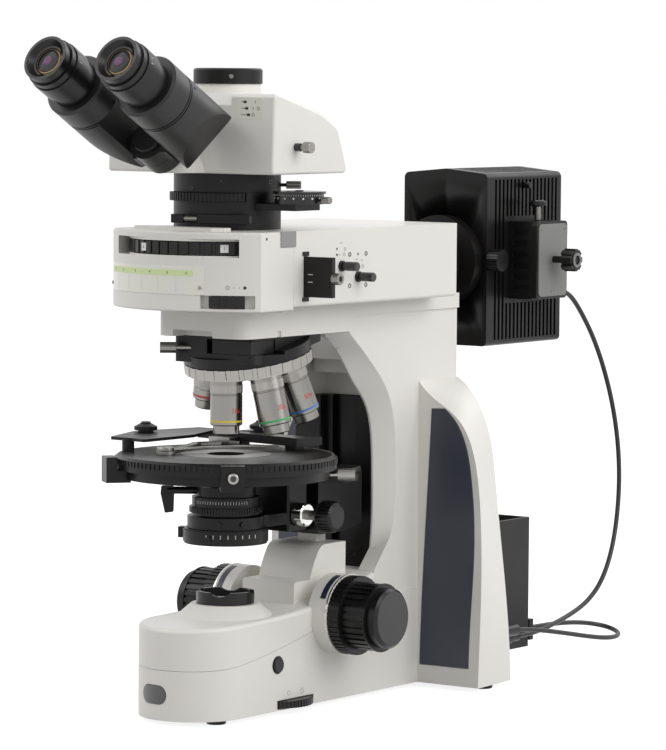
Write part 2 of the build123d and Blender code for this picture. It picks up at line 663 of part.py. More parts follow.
def side_panels():
    """Dark inlays on the front of both legs."""
    panel = panel_solid(0, LEG_FRONT_Y + PANEL_DEPTH - PANEL_THICKNESS, LEG_FRONT_Y + PANEL_DEPTH)
    write("side_panels", *both_sides(panel))


def dovetail(grow, low, high):
    """Tongue of the stage slide: wider at the bottom of its groove."""
    front = GUIDE_FRONT_Y - 1
    back = GUIDE_FRONT_Y + DOVETAIL_DEPTH + grow
    narrow, wide = DOVETAIL_NARROW + grow, DOVETAIL_WIDE + grow
    return prism_z([(-narrow, front), (narrow, front), (narrow, GUIDE_FRONT_Y), (wide, back), (-wide, back),
                    (-narrow, GUIDE_FRONT_Y)], low, high)


def guide_plate():
    """Black guide on the column with the groove that the stage runs in."""
    plate = block((-GUIDE_HALF, GUIDE_HALF), (GUIDE_FRONT_Y, GUIDE_FRONT_Y + GUIDE_THICKNESS),
                  (GUIDE_BOTTOM_Z, GUIDE_TOP_Z))
    write("guide_plate", plate - dovetail(0.1, GUIDE_BOTTOM_Z + 10, GUIDE_TOP_Z + 1))


def stand_head():
    """Beam over the stage, stepped over the column, with the light bore and the screw notches."""
    side = [(HEAD_FRONT_Y, HEAD_BOTTOM_Z), (HEAD_FRONT_Y, HEAD_TOP_Z), (COLUMN_REAR_Y, HEAD_TOP_Z),
            (COLUMN_REAR_Y, COLUMN_TOP_Z), (HEAD_STEP_Y, COLUMN_TOP_Z), (HEAD_STEP_Y, HEAD_BOTTOM_Z)]
    beam = prism_x(side, -HEAD_HALF, HEAD_HALF)
    corners = beam.edges().filter_by(Axis.Z).group_by(Axis.Y)[0]
    beam = fillet(corners, 14)
    beam = beam - disc((0, 0), BEAM_BORE_R, HEAD_BOTTOM_Z - 1, HEAD_TOP_Z + 1)
    beam = beam - block((-26, 13.5), (HEAD_FRONT_Y - 1, MOUNT_FRONT_Y - 1), (HEAD_BOTTOM_Z - 1, 311))
    for side_x in (-1, 1):
        for low, high in ((HEAD_BOTTOM_Z - 1, 310.5), (325.5, HEAD_TOP_Z + 1)):
            beam = beam - disc((side_x * HEAD_HALF, 9), 2.6, low, high)
    write("stand_head", beam)


# Illuminator


def face_plan(radius, rear, half):
    """Plan of the illuminator's front: a wide arc between straight sides."""
    edge_y = FACE_ARC_Y - (radius ** 2 - half ** 2) ** 0.5
    arc = ThreePointArc((-half, edge_y), (0, FACE_ARC_Y - radius), (half, edge_y))
    sides = Polyline((half, edge_y), (half, rear), (-half, rear), (-half, edge_y))
    return make_face(arc + sides)


def selector_channel():
    """Room for the filter selector: an annular channel round its guide."""
    outer = disc((0, SELECTOR_Y), SELECTOR_CHANNEL_R, SLOT_BOTTOM_Z + 1, SELECTOR_TOP_Z + 0.8)
    return outer - disc((0, SELECTOR_Y), SELECTOR_INNER_R - RUNNING_FIT, SLOT_BOTTOM_Z, SLOT_TOP_Z)


def illuminator_front():
    """Curved front cover with the selector's slot, the shutter's recess and the chart plate."""
    cover = extrude(Pos(0, 0, FRONT_BOTTOM_Z) * face_plan(FACE_ARC_R, FRONT_JOINT_Y - SEAM_GAP, LAMP_HALF),
                    amount=LAMP_TOP_Z - FRONT_BOTTOM_Z)
    top = cover.faces().sort_by(Axis.Z)[-1].edges().filter_by(lambda edge: edge.center().Y < FRONT_JOINT_Y - 1)
    bottom = cover.faces().sort_by(Axis.Z)[0].edges().filter_by(lambda edge: edge.center().Y < FRONT_JOINT_Y - 1)
    cover = fillet(top + bottom, 2.0)
    cover = cover - selector_channel()
    mouth = prism_y([(-SLOT_HALF, SLOT_BOTTOM_Z), (SLOT_HALF - 4, SLOT_BOTTOM_Z),
                     (SLOT_HALF - 4, SLOT_TOP_Z), (-SLOT_HALF, SLOT_TOP_Z)], -95, -30, 1.5)
    mouth = mouth - disc((0, SELECTOR_Y), SELECTOR_CHANNEL_R, SLOT_BOTTOM_Z - 1, SLOT_TOP_Z + 1)
    bevel = prism_z([(SLOT_HALF - 5, -40), (SLOT_HALF - 5, -95), (SLOT_HALF + 6, -95)], SLOT_BOTTOM_Z, SLOT_TOP_Z)
    cover = cover - mouth - bevel
    cover = cover - arc_solid(FACE_ARC_R - SHUTTER_THICKNESS - 0.3, FACE_ARC_R + 4,
                              SHUTTER_START_DEG - SHUTTER_PLAY_DEG, SHUTTER_END_DEG + SHUTTER_PLAY_DEG + 0.4,
                              SHUTTER_BOTTOM_Z - 0.4, SHUTTER_TOP_Z + 0.5)
    cover = cover - block((-HEAD_HALF - 0.3, HEAD_HALF + 0.3), (HEAD_FRONT_Y - 0.3, 0), (300, HEAD_TOP_Z))
    rail = prism_z([(-52, -56), (30, -62), (38, -54), (38, -44), (-52, -44)], LAMP_TOP_Z, LAMP_TOP_Z + 2.5, 3)
    write("illuminator_front", cover + rail)


def arc_solid(inner, outer, start, end, low, high):
    """Piece of a ring about the arc centre of the front. Angles run from the front to the right."""
    def spot(radius, angle):
        return radius * sin(radians(angle)), FACE_ARC_Y - radius * cos(radians(angle))
    middle = (start + end) / 2
    lines = (ThreePointArc(spot(outer, start), spot(outer, middle), spot(outer, end))
             + Line(spot(outer, end), spot(inner, end))
             + ThreePointArc(spot(inner, end), spot(inner, middle), spot(inner, start))
             + Line(spot(inner, start), spot(outer, start)))
    return extrude(Pos(0, 0, low) * make_face(lines), amount=high - low)


def illuminator_housing():
    """Housing with the light path, and its flat cover as a second solid."""
    joint = FRONT_JOINT_Y
    top = LAMP_TOP_Z - LAMP_COVER
    box = block((-LAMP_HALF, LAMP_HALF), (joint, LAMP_REAR_Y), (HEAD_TOP_Z, top))
    low_edges = box.edges().group_by(Axis.Z)[0].filter_by(Axis.Y)
    box = fillet(low_edges, 3.0)
    box = fillet(box.edges().filter_by(Axis.Z).group_by(Axis.Y)[-1], 5.0)
    box = box - block((-LAMP_HALF + LAMP_WALL, LAMP_HALF - LAMP_WALL), (100, LAMP_REAR_Y - LAMP_WALL),
                      (HEAD_TOP_Z + LAMP_WALL, top + 1))
    box = box - selector_channel()
    box = box - disc((0, 0), LIGHT_BORE_R, HEAD_TOP_Z - 1, top + 1) & block((-90, 90), (joint, 300), (300, 400))
    box = box - rod((0, 10, LAMP_AXIS_Z), (0, LAMP_REAR_Y + 1, LAMP_AXIS_Z), COLLAR_BORE_R)
    slab_room = block((FILTER_SLAB_START - 4, LAMP_HALF + 1),
                      (FILTER_SLAB_Y - FILTER_SLAB_THICKNESS / 2 - SLIDING_GAP,
                       FILTER_SLAB_Y + FILTER_SLAB_THICKNESS / 2 + SLIDING_GAP),
                      (FILTER_SLAB_BOTTOM_Z - SLIDING_GAP, FILTER_SLAB_TOP_Z + SLIDING_GAP))
    box = box - slab_room
    for y, z in (UPPER_ROD_YZ, LOWER_ROD_YZ):
        box = box - rod((PULL_ROD_START - 20, y, z), (LAMP_HALF + 1, y, z), PULL_ROD_R + RUNNING_FIT)
    cover = block((-LAMP_HALF, LAMP_HALF), (joint, LAMP_REAR_Y), (top, LAMP_TOP_Z))
    cover = fillet(cover.edges().filter_by(Axis.Z).group_by(Axis.Y)[-1], 5.0)
    cover = cover - disc((0, 0), LIGHT_BORE_R, top - 1, LAMP_TOP_Z + 1)
    write("illuminator_housing", box, cover)


def filter_wheel():
    """Selector ring with finger ribs, seen through the slot."""
    low = (0, SELECTOR_Y, SELECTOR_BOTTOM_Z)
    high = (0, SELECTOR_Y, SELECTOR_TOP_Z)
    ring = ribbed(low, high, SELECTOR_R, 48, 1.0)
    write("filter_wheel", ring - rod(low, high, SELECTOR_INNER_R))


def shutter_slider():
    """Shutter tab that slides along the arc of the front."""
    tab = arc_solid(FACE_ARC_R - SHUTTER_THICKNESS, FACE_ARC_R + 0.6, SHUTTER_START_DEG, SHUTTER_END_DEG,
                    SHUTTER_BOTTOM_Z, SHUTTER_TOP_Z)
    for angle in (24.5, 27.0, 31.0):
        tab = tab + arc_solid(FACE_ARC_R, FACE_ARC_R + 1.4, angle, angle + 0.5, SHUTTER_BOTTOM_Z, SHUTTER_TOP_Z)
    write("shutter_slider", tab)


def filter_slider():
    """Slide with a filter opening that goes into the light path from the right, with its thumb nut."""
    half = FILTER_SLAB_THICKNESS / 2
    slab = block((FILTER_SLAB_START, FILTER_SLAB_END), (FILTER_SLAB_Y - half, FILTER_SLAB_Y + half),
                 (FILTER_SLAB_BOTTOM_Z, FILTER_SLAB_TOP_Z))
    middle = (FILTER_SLAB_BOTTOM_Z + FILTER_SLAB_TOP_Z) / 2
    slab = slab - rod((FILTER_SLAB_START + 18, -20, middle), (FILTER_SLAB_START + 18, 30, middle), FILTER_SLAB_HOLE_R)
    end = FILTER_SLAB_END
    nut = ribbed((end, FILTER_SLAB_Y, FILTER_NUT_Z), (end + 6.5, FILTER_SLAB_Y, FILTER_NUT_Z), 4.2, 20, 0.4)
    write("filter_slider", slab + nut)


def pull_rods():
    """Two pull rods on the right of the illuminator, each with its black knob."""
    for name, (y, z) in (("upper_pull_rod", UPPER_ROD_YZ), ("lower_pull_rod", LOWER_ROD_YZ)):
        pull = rod((PULL_ROD_START, y, z), (PULL_KNOB_START + 1, y, z), PULL_ROD_R)
        knob = rod((PULL_KNOB_START, y, z), (PULL_KNOB_END, y, z), PULL_KNOB_R)
        write(name, pull + chamfer(knob.edges().filter_by(GeomType.CIRCLE), 0.8))


# Intermediate tube


def compensator_plane():
    """Plane of the compensator slot: origin on its centre line, X along the slide."""
    turn = radians(COMP_ANGLE)
    normal = Vector(sin(turn), -cos(turn), 0)
    return Plane(origin=normal * COMP_OFFSET, x_dir=(cos(turn), sin(turn), 0), z_dir=(0, 0, 1))


def compensator_block(x, y, z):
    """Box in the compensator's own directions."""
    size = (x[1] - x[0], y[1] - y[0], z[1] - z[0])
    centre = ((x[0] + x[1]) / 2, (y[0] + y[1]) / 2, (z[0] + z[1]) / 2)
    return compensator_plane() * Pos(*centre) * Box(*size)


def intermediate_tube():
    """Round black body with the slots of the lens wheel, the analyzer and the compensator."""
    body = disc((0, 0), TUBE_R, LAMP_TOP_Z, TUBE_TOP_Z)
    body = body - disc((0, 0), LIGHT_BORE_R, LAMP_TOP_Z - 1, TUBE_TOP_Z + 1)
    channel = disc(CONO_CENTRE, CONO_R + 0.5, CONO_BOTTOM_Z - 0.3, CONO_TOP_Z + 0.3)
    body = body - (channel - disc(CONO_CENTRE, CONO_INNER_R - RUNNING_FIT, CONO_BOTTOM_Z - 1, CONO_TOP_Z + 1))
    body = body - block((ANALYZER_START - 3, TUBE_R + 5), (-ANALYZER_HALF - SLIDING_GAP, ANALYZER_HALF + SLIDING_GAP),
                        (ANALYZER_BOTTOM_Z - SLIDING_GAP, ANALYZER_TOP_Z + SLIDING_GAP))
    body = body - compensator_block((-70, 70), (-COMP_DEPTH, COMP_DEPTH / 2 + SLIDING_GAP),
                                    (COMP_BOTTOM_Z - SLIDING_GAP, COMP_TOP_Z + SLIDING_GAP))
    turn = radians(TUBE_SCREW_ANGLE)
    way = (cos(turn), sin(turn))
    groove = disc((0, 0), TUBE_R + 1, 421.2, 421.8) - disc((0, 0), TUBE_R - 0.5, 421, 422)
    body = body - groove
    neck = rod((40 * way[0], 40 * way[1], TUBE_SCREW_Z), (47 * way[0], 47 * way[1], TUBE_SCREW_Z), 1.4)
    grip = ribbed((47 * way[0], 47 * way[1], TUBE_SCREW_Z),
                  (TUBE_SCREW_END * way[0], TUBE_SCREW_END * way[1], TUBE_SCREW_Z), 2.9, 16, 0.3)
    write("intermediate_tube", body + neck + grip)


def bertrand_wheel():
    """Selector ring for conoscopy with a ribbed rim, turning round its guide in the tube."""
    low = (CONO_CENTRE[0], CONO_CENTRE[1], CONO_BOTTOM_Z)
    high = (CONO_CENTRE[0], CONO_CENTRE[1], CONO_TOP_Z)
    wheel = ribbed(low, high, CONO_R, 72, 0.6) - rod(low, high, CONO_INNER_R)
    write("bertrand_wheel", wheel)


def compensator_slider():
    """Compensator slide: knurled end, spring pin, grey block and black carrier in one piece."""
    half = COMP_HALF_LENGTH
    carrier = compensator_block((-2, half - 1), (-COMP_DEPTH / 2, COMP_DEPTH / 2), (COMP_BOTTOM_Z, COMP_TOP_Z))
    head = compensator_block((-half, -half + 10), (-COMP_DEPTH / 2, COMP_DEPTH / 2), (COMP_BOTTOM_Z, COMP_TOP_Z))
    grey = compensator_block((-11, -2), (-COMP_DEPTH / 2, COMP_DEPTH / 2 - 0.6), (COMP_BOTTOM_Z, COMP_TOP_Z))
    middle = (COMP_BOTTOM_Z + COMP_TOP_Z) / 2
    pin = compensator_plane() * Pos(-half + 15, 0, middle) * Rot(0, 90, 0) * Cylinder(1.6, 14)
    write("compensator_slider", carrier + head + grey + pin)


def analyzer_slab():
    """Analyzer slide with its lens opening and the pin of the dial."""
    slab = block((ANALYZER_START, ANALYZER_END), (-ANALYZER_HALF, ANALYZER_HALF), (ANALYZER_BOTTOM_Z, ANALYZER_TOP_Z))
    slab = slab - disc((0, 0), ANALYZER_LENS_R, ANALYZER_BOTTOM_Z - 1, ANALYZER_TOP_Z + 1)
    slab = slab + disc((DIAL_X, 0), DIAL_PIN_R, ANALYZER_TOP_Z - 1, ANALYZER_TOP_Z + 6)
    write("analyzer_slab", slab)


def analyzer_dial():
    """Round dial with its clamp screw, turned to rotate the analyzer."""
    low = ANALYZER_TOP_Z + 0.2
    dial = disc((DIAL_X, 0), DIAL_R - 1.5, low, DIAL_TOP_Z - 1.8)
    dial = dial + disc((DIAL_X, 0), DIAL_R, DIAL_TOP_Z - 1.8, DIAL_TOP_Z)
    dial = dial - disc((DIAL_X, 0), DIAL_PIN_R + RUNNING_FIT, low - 1, ANALYZER_TOP_Z + 6.4)
    reach = DIAL_R - 2
    z = ANALYZER_TOP_Z + 3.6
    screw = rod((DIAL_X + reach, 0, z), (DIAL_X + reach + 4, 0, z), 1.2)
    grip = ribbed((DIAL_X + reach + 4, 0, z), (DIAL_X + reach + 11, 0, z), 2.6, 16, 0.3)
    write("analyzer_dial", dial + screw + grip)


# Head and binocular tubes


def eye_plane(side):
    """Plane at the rear end of a tube: its Z runs up the tube to the eye, its X along +X."""
    tilt = radians(EYE_TILT)
    return Plane(origin=(side * EYE_HALF_SPACING, TUBE_END_Y, TUBE_END_Z), x_dir=(1, 0, 0),
                 z_dir=(0, -cos(tilt), sin(tilt)))


def eye_cylinder(side, x, y, low, high, radius):
    """Round bar along a tube, at an offset from the tube's axis."""
    bar = Cylinder(radius, high - low, align=(Align.CENTER, Align.CENTER, Align.MIN))
    return eye_plane(side) * Pos(x, y, low) * bar


def head_housing():
    """White head with the port tower, the bevel behind the tubes, and the tubes' pivot as a second solid."""
    body = prism_x(BODY_SIDE, -BODY_HALF, BODY_HALF, BODY_SIDE_RADII)
    for end in (0, -1):
        face = body.faces().sort_by(Axis.X)[end]
        body = fillet(face.edges(), 2.2)
    body = body + disc((0, 0), TOWER_R, TUBE_TOP_Z + 5, TOWER_TOP_Z)
    clear = eye_plane(0) * Pos(0, 30, 30 - 3.5) * Box(80, 90, 60)
    body = body - clear
    body = body - disc((0, 0), LIGHT_BORE_R, TUBE_TOP_Z - 1, TOWER_TOP_Z + 1)
    body = body - rod((50, SPLITTER_Y, SPLITTER_Z), (90, SPLITTER_Y, SPLITTER_Z), SPLITTER_ROD_R + RUNNING_FIT)
    boss = eye_cylinder(0, 0, -PIVOT_DROP, -45, LEFT_LUG[0] - 0.5, PIVOT_BOSS_R)
    keep = block((-40, 40), (-120, -30), (TUBE_TOP_Z + 0.5, 520))
    body = body + (boss & keep)
    pin = eye_cylinder(0, 0, -PIVOT_DROP, LEFT_LUG[0] - 0.5, RIGHT_LUG[1] + 0.3, PIVOT_PIN_R)
    cap = eye_cylinder(0, 0, -PIVOT_DROP, RIGHT_LUG[1] + 0.3, RIGHT_LUG[1] + 3.0, PIVOT_PIN_R + 4)
    write("head_housing", body, pin + cap)


def eye_tubes():
    """Both tube housings: a round body with a flat inner side, and the lug on the common pivot."""
    for name, side, lug in (("left_tube", -1, LEFT_LUG), ("right_tube", 1, RIGHT_LUG)):
        body = Cylinder(HOUSING_R, HOUSING_LENGTH, align=(Align.CENTER, Align.CENTER, Align.MIN))
        body = chamfer(body.edges().filter_by(GeomType.CIRCLE), 2.0)
        for shift in (0, 2.4):
            slit = Cylinder(HOUSING_R + 2, 1.2) - Cylinder(HOUSING_R - 0.7, 1.2)
            body = body - Pos(0, 0, HOUSING_GROOVE + shift) * slit
        flat = Pos(-side * (HOUSING_FLAT + 20), 0, 33) * Box(40, 60, 78)
        body = body - flat
        body = body - Pos(0, 0, HOUSING_LENGTH - EYEPIECE_TUBE_DEPTH) * Cylinder(
            EYEPIECE_TUBE_R + RUNNING_FIT, EYEPIECE_TUBE_DEPTH + 1, align=(Align.CENTER, Align.CENTER, Align.MIN))
        body = eye_plane(side) * body
        ear = eye_cylinder(0, 0, -PIVOT_DROP, lug[0], lug[1], LUG_R)
        reach = EYE_HALF_SPACING - HOUSING_FLAT
        bridge = eye_plane(0) * Pos(side * reach / 2, -PIVOT_DROP, (lug[0] + lug[1]) / 2) * Box(
            reach + 2, 24, lug[1] - lug[0])
        ear = ear + bridge
        ear = ear - eye_cylinder(0, 0, -PIVOT_DROP, lug[0] - 1, lug[1] + 1, PIVOT_PIN_R + RUNNING_FIT)
        write(name, body + ear)


def eyepieces():
    """Both eyepieces: sleeve, barrel, scale ring and eyecup with its deep-set lens."""
    for name, side in (("left_eyepiece", -1), ("right_eyepiece", 1)):
        start = HOUSING_LENGTH
        body = eye_cylinder(side, 0, 0, start - EYEPIECE_TUBE_DEPTH + 0.5, start + 1, EYEPIECE_TUBE_R)
        level = start + 0.2
        for radius, length in EYEPIECE_STEPS:
            body = body + eye_cylinder(side, 0, 0, level, level + length, radius)
            level = level + length
        cup = eye_plane(side) * Pos(0, 0, level - 6.5) * Cone(EYE_LENS_R, EYE_LENS_R + 4.5, 6.5,
                                                            align=(Align.CENTER, Align.CENTER, Align.MIN))
        write(name, body - cup)


def beam_splitter_rod():
    """Push-pull rod of the beam splitter with its knob."""
    pull = rod((64, SPLITTER_Y, SPLITTER_Z), (SPLITTER_END - 5.5, SPLITTER_Y, SPLITTER_Z), SPLITTER_ROD_R)
    knob = rod((SPLITTER_END - 5.5, SPLITTER_Y, SPLITTER_Z), (SPLITTER_END, SPLITTER_Y, SPLITTER_Z), SPLITTER_KNOB_R)
    write("beam_splitter_rod", pull + chamfer(knob.edges().filter_by(GeomType.CIRCLE), 0.7))


def photo_port():
    """Clamp ring of the photo port with its bore and its clamp screw."""
    ring = disc((0, 0), PORT_R, TOWER_TOP_Z, PORT_TOP_Z)
    ring = chamfer(ring.edges().sort_by(Axis.Z)[-1], 1.0)
    ring = ring - disc((0, 0), PORT_BORE_R, TOWER_TOP_Z - 1, PORT_TOP_Z + 1)
    screw = rod((18, -19, 513), (20.6, -21.8, 513), 2.0)
    write("photo_port", ring + (screw - disc((0, 0), PORT_BORE_R, 500, 530)))


# Nosepiece


def turret_plane(height=0.0):
    """Plane across the turret: its Z runs down the turret's axis, its Y back and up."""
    tilt = radians(TURRET_TILT)
    down = Vector(0, sin(tilt), -cos(tilt))
    seat = Vector(0, OBJECTIVE_CIRCLE_R * cos(tilt), SEAT_Z + OBJECTIVE_CIRCLE_R * sin(tilt))
    return Plane(origin=seat - down * height, x_dir=(1, 0, 0), z_dir=down)


def turret_disc(low, high, radius):
    """Disc about the turret's axis between two levels above the objective seats."""
    return turret_plane(high) * Cylinder(radius, high - low, align=(Align.CENTER, Align.CENTER, Align.MIN))


def objective_plane(angle):
    """Plane at one objective seat: its Z runs down the objective."""
    local = turret_plane()
    turn = radians(angle)
    out = local.x_dir * sin(turn) + local.y_dir * (cos(turn) if local.y_dir.Y < 0 else -cos(turn))
    origin = local.origin + out * OBJECTIVE_CIRCLE_R
    down = local.z_dir * cos(radians(TURRET_TILT)) + out * sin(radians(TURRET_TILT))
    return Plane(origin=origin, z_dir=down)


def lock_screw_spot(reach):
    """Point on the axis of the nosepiece's lock screw, measured out from the mount's front."""
    turn = radians(LOCK_SCREW_ANGLE)
    return LOCK_SCREW_X + reach * cos(turn), MOUNT_FRONT_Y + reach * sin(turn), LOCK_SCREW_Z


def nosepiece_mount():
    """Black block under the beam with the fixed dome over the turret and its spindle."""
    body = block((-MOUNT_HALF, MOUNT_HALF), (MOUNT_FRONT_Y, MOUNT_REAR_Y), (MOUNT_BOTTOM_Z, HEAD_BOTTOM_Z))
    body = fillet(body.edges().filter_by(Axis.Z), 5)
    body = body + (turret_disc(DOME_LOW, DOME_HIGH, DOME_R) & block((-60, 60), (-30, 95), (250, HEAD_BOTTOM_Z)))
    body = body - turret_disc(-40, DOME_LOW, 90)
    body = body + turret_disc(RING_LOW + 1, DOME_LOW + 1, TURRET_PIN_R)
    body = body - disc((0, 0), 12, 250, HEAD_BOTTOM_Z + 1)
    body = body - block((-5.4, MOUNT_HALF + 20), (MOUNT_FRONT_Y - 1, 12), (SLOT_SLIDER_BOTTOM_Z - SLIDING_GAP,
                                                                        SLOT_SLIDER_TOP_Z + SLIDING_GAP))
    body = body - rod(lock_screw_spot(-9), lock_screw_spot(12), 2 + RUNNING_FIT)
    write("nosepiece_mount", body)


def nosepiece_turret():
    """Turret with a fluted ring and six inclined seats, two of them empty."""
    spin_low, spin_high = turret_plane(RING_HIGH), turret_plane(RING_LOW)
    ring = ribbed(tuple(spin_low.origin), tuple(spin_high.origin), RING_R, RING_FLUTES, 0.8)
    body = ring + turret_disc(3.3, RING_LOW + 1, 46.5)
    for place in range(TURRET_PLACES):
        seat = objective_plane(place * 360 / TURRET_PLACES)
        body = body + seat * Pos(0, 0, -9) * Cylinder(14.2, 9, align=(Align.CENTER, Align.CENTER, Align.MIN))
        body = body - seat * Pos(0, 0, -THREAD_DEPTH) * Cylinder(THREAD_R, THREAD_DEPTH + 1,
                                                              align=(Align.CENTER, Align.CENTER, Align.MIN))
        body = body - seat * Pos(0, 0, -20) * Cylinder(7, 22, align=(Align.CENTER, Align.CENTER, Align.MIN))
    body = body - turret_disc(RING_LOW - 4.5, DOME_LOW + 1, TURRET_PIN_R + RUNNING_FIT)
    body = body - turret_disc(RING_HIGH, RING_HIGH + 20, 90)
    write("nosepiece_turret", body)


def objectives():
    """Four objectives: thread, barrel with fine steps, narrower nose with its front lens bevel."""
    pieces = []
    for angle, length in OBJECTIVE_LENGTHS.items():
        nose = OBJECTIVE_NOSE_LENGTH
        profile = [(0, -THREAD_DEPTH + 0.5), (THREAD_R - 0.1, -THREAD_DEPTH + 0.5), (THREAD_R - 0.1, 0),
                   (OBJECTIVE_R, 0), (OBJECTIVE_R, 10), (OBJECTIVE_R - 0.25, 10.3), (OBJECTIVE_R - 0.25, 11),
                   (OBJECTIVE_R, 11.3), (OBJECTIVE_R, length - nose - 0.8), (OBJECTIVE_R - 0.8, length - nose),
                   (OBJECTIVE_NOSE_R, length - nose), (OBJECTIVE_NOSE_R, length - 0.8),
                   (OBJECTIVE_NOSE_R - 0.8, length), (6.5, length), (6.0, length - 0.6), (0, length - 0.6)]
        face = Plane.XZ * make_face(Polyline(*profile, close=True))
        barrel = revolve(face, axis=Axis.Z)
        pieces.append(objective_plane(angle) * barrel)
    write("objectives", *pieces)


def nosepiece_lock_screw():
    """Thumbscrew that locks the nosepiece in its slide."""
    stem = rod(lock_screw_spot(-8), lock_screw_spot(10), 2)
    grip = ribbed(lock_screw_spot(9), lock_screw_spot(22), 4.5, 20, 0.4)
    write("nosepiece_lock_screw", stem + grip)


def slot_slider():
    """Blank slide in the front of the nosepiece mount."""
    slab = block((0.4, MOUNT_HALF - 0.8), (MOUNT_FRONT_Y - 0.8, 11.5), (SLOT_SLIDER_BOTTOM_Z, SLOT_SLIDER_TOP_Z))
    slab = slab - disc((0, 0), 12.3, 280, 310)
    write("slot_slider", slab)


# Stage


def ring_sector(angle, half, inner, outer, low, high):
    """Short radial block at an angle from +X about the optical axis."""
    slab = Pos((inner + outer) / 2, 0, (low + high) / 2) * Box(outer - inner, 2 * half, high - low)
    return Rot(0, 0, angle) * slab


def stage_lock_spot(radius):
    """Point on the axis of the stage's lock screw, at a distance from the optical axis."""
    turn = radians(STAGE_LOCK_ANGLE)
    return radius * cos(turn), radius * sin(turn), STAGE_LOCK_Z


def stage_bracket():
    """Fixed plate with the verniers, the block behind it and the tongue that runs in the guide."""
    plate = disc((0, 0), PLATE_R, PLATE_BOTTOM_Z, PLATE_TOP_Z)
    for angle in VERNIER_DEG:
        plate = plate + ring_sector(angle, VERNIER_HALF, PLATE_R - 4, VERNIER_OUTER_R, PLATE_BOTTOM_Z - 2.5,
                                    PLATE_TOP_Z)
        plate = plate + ring_sector(angle, VERNIER_HALF, VERNIER_INNER_R, VERNIER_OUTER_R, PLATE_BOTTOM_Z - 2.5,
                                    STAGE_TOP_Z - 0.5)
    turn = radians(VERNIER_DEG[0])
    knob_z = (PLATE_BOTTOM_Z + STAGE_TOP_Z) / 2 - 1
    plate = plate + rod((98 * cos(turn), 98 * sin(turn), knob_z), (102 * cos(turn), 102 * sin(turn), knob_z), 5)
    side = [(BRACKET_FRONT_Y, PLATE_BOTTOM_Z), (BRACKET_REAR_Y, PLATE_BOTTOM_Z), (BRACKET_REAR_Y, 144),
            (123, BRACKET_BOTTOM_Z), (BRACKET_FRONT_Y, BRACKET_BOTTOM_Z)]
    lump = prism_x(side, -BRACKET_HALF, BRACKET_HALF, [0, 5, 3, 6, 3])
    slide = block((-20, 20), (CONDENSER_PLATE_REAR_Y + 0.3, BRACKET_FRONT_Y + 1), (142, PLATE_BOTTOM_Z))
    wing = prism_z([(-46, 52), (46, 52), (70, 66), (70, 86), (40, 118), (BRACKET_HALF, 146), (-BRACKET_HALF, 146),
                    (-40, 118), (-46, 90)], PLATE_BOTTOM_Z - 5.5, PLATE_BOTTOM_Z, [0, 8, 4, 4, 8, 0, 0, 8, 8])
    tongue = dovetail(0, 150, 186)
    neck = block((-DOVETAIL_NARROW, DOVETAIL_NARROW), (BRACKET_REAR_Y - 1, GUIDE_FRONT_Y), (150, 186))
    body = plate + lump + slide + wing + tongue + neck
    body = body - disc((0, 0), STAGE_HOLE_R + 6, 180, 205)
    body = body - rod(stage_lock_spot(66), stage_lock_spot(PLATE_R + 4), STAGE_LOCK_STEM_R + RUNNING_FIT)
    body = body - disc((0, 0), STAGE_BEARING_R + RUNNING_FIT, 195, 205)
    write("stage_bracket", body)


def stage_disc():
    """Rotating disc with a ribbed rim, its bearing spigot below and the light hole."""
    disc_body = disc((0, 0), STAGE_R - 0.8, STAGE_BOTTOM_Z, STAGE_TOP_Z - 3)
    rim = ribbed((0, 0, STAGE_BOTTOM_Z + 4.5), (0, 0, STAGE_TOP_Z - 2), STAGE_R, STAGE_RIBS, 0.7)
    crown = Pos(0, 0, STAGE_TOP_Z - 2) * Cone(STAGE_R - 0.4, STAGE_R - 3, 2,
                                              align=(Align.CENTER, Align.CENTER, Align.MIN))
    spigot = disc((0, 0), STAGE_BEARING_R, 195.3, STAGE_BOTTOM_Z + 1)
    body = disc_body + rim + crown + spigot
    body = body - disc((0, 0), STAGE_HOLE_R, 190, STAGE_TOP_Z + 1)
    write("stage_disc", body)


def stage_lock_knob():
    """Thumbscrew that locks the stage's rotation."""
    stem = rod(stage_lock_spot(70), stage_lock_spot(91), STAGE_LOCK_STEM_R)
    grip = ribbed(stage_lock_spot(90), stage_lock_spot(104), 4.8, 24, 0.5)
    write("stage_lock_knob", stem + grip)


def holder(x, y, z):
    """Box in the holder's own directions, turned with it on the stage."""
    return Rot(0, 0, HOLDER_TURN) * block(x, y, z)


def strap(start, end, width, low, high):
    """Flat strap with round ends between two points of the plan."""
    way = Vector(*end) - Vector(*start)
    middle = (Vector(*start) + Vector(*end)) / 2
    turn = degrees(atan2(way.Y, way.X))
    face = Pos(middle.X, middle.Y, low) * Rot(0, 0, turn) * SlotCenterToCenter(way.length, width)
    return extrude(face, amount=high - low)


def holder_rail():
    """Bar across the rear of the stage, the side plate on it, the knob plates and their feet."""
    low, high = RAIL_BOTTOM_Z, HOLDER_PLATE_TOP_Z
    bar = holder((-95, 21), (RAIL_FRONT, RAIL_FRONT + 16), (low, high - 0.5))
    end = holder((14, 21), (RAIL_FRONT - 2, 90), (low, high - 0.5))
    plate = prism_z(SIDE_PLATE_POINTS, high - 2.5, high, 3)
    back = holder((-60, -30), (RAIL_FRONT + 15, 98), (high - 3, high))
    feet = disc((-78, -28), 5, STAGE_TOP_Z, high - 1)
    feet = feet + holder((-54, -46), (64, 74), (STAGE_TOP_Z, low + 1))
    feet = feet + holder((4, 16), (64, 74), (STAGE_TOP_Z, low + 1))
    write("holder_rail", bar + end + plate + back + feet)


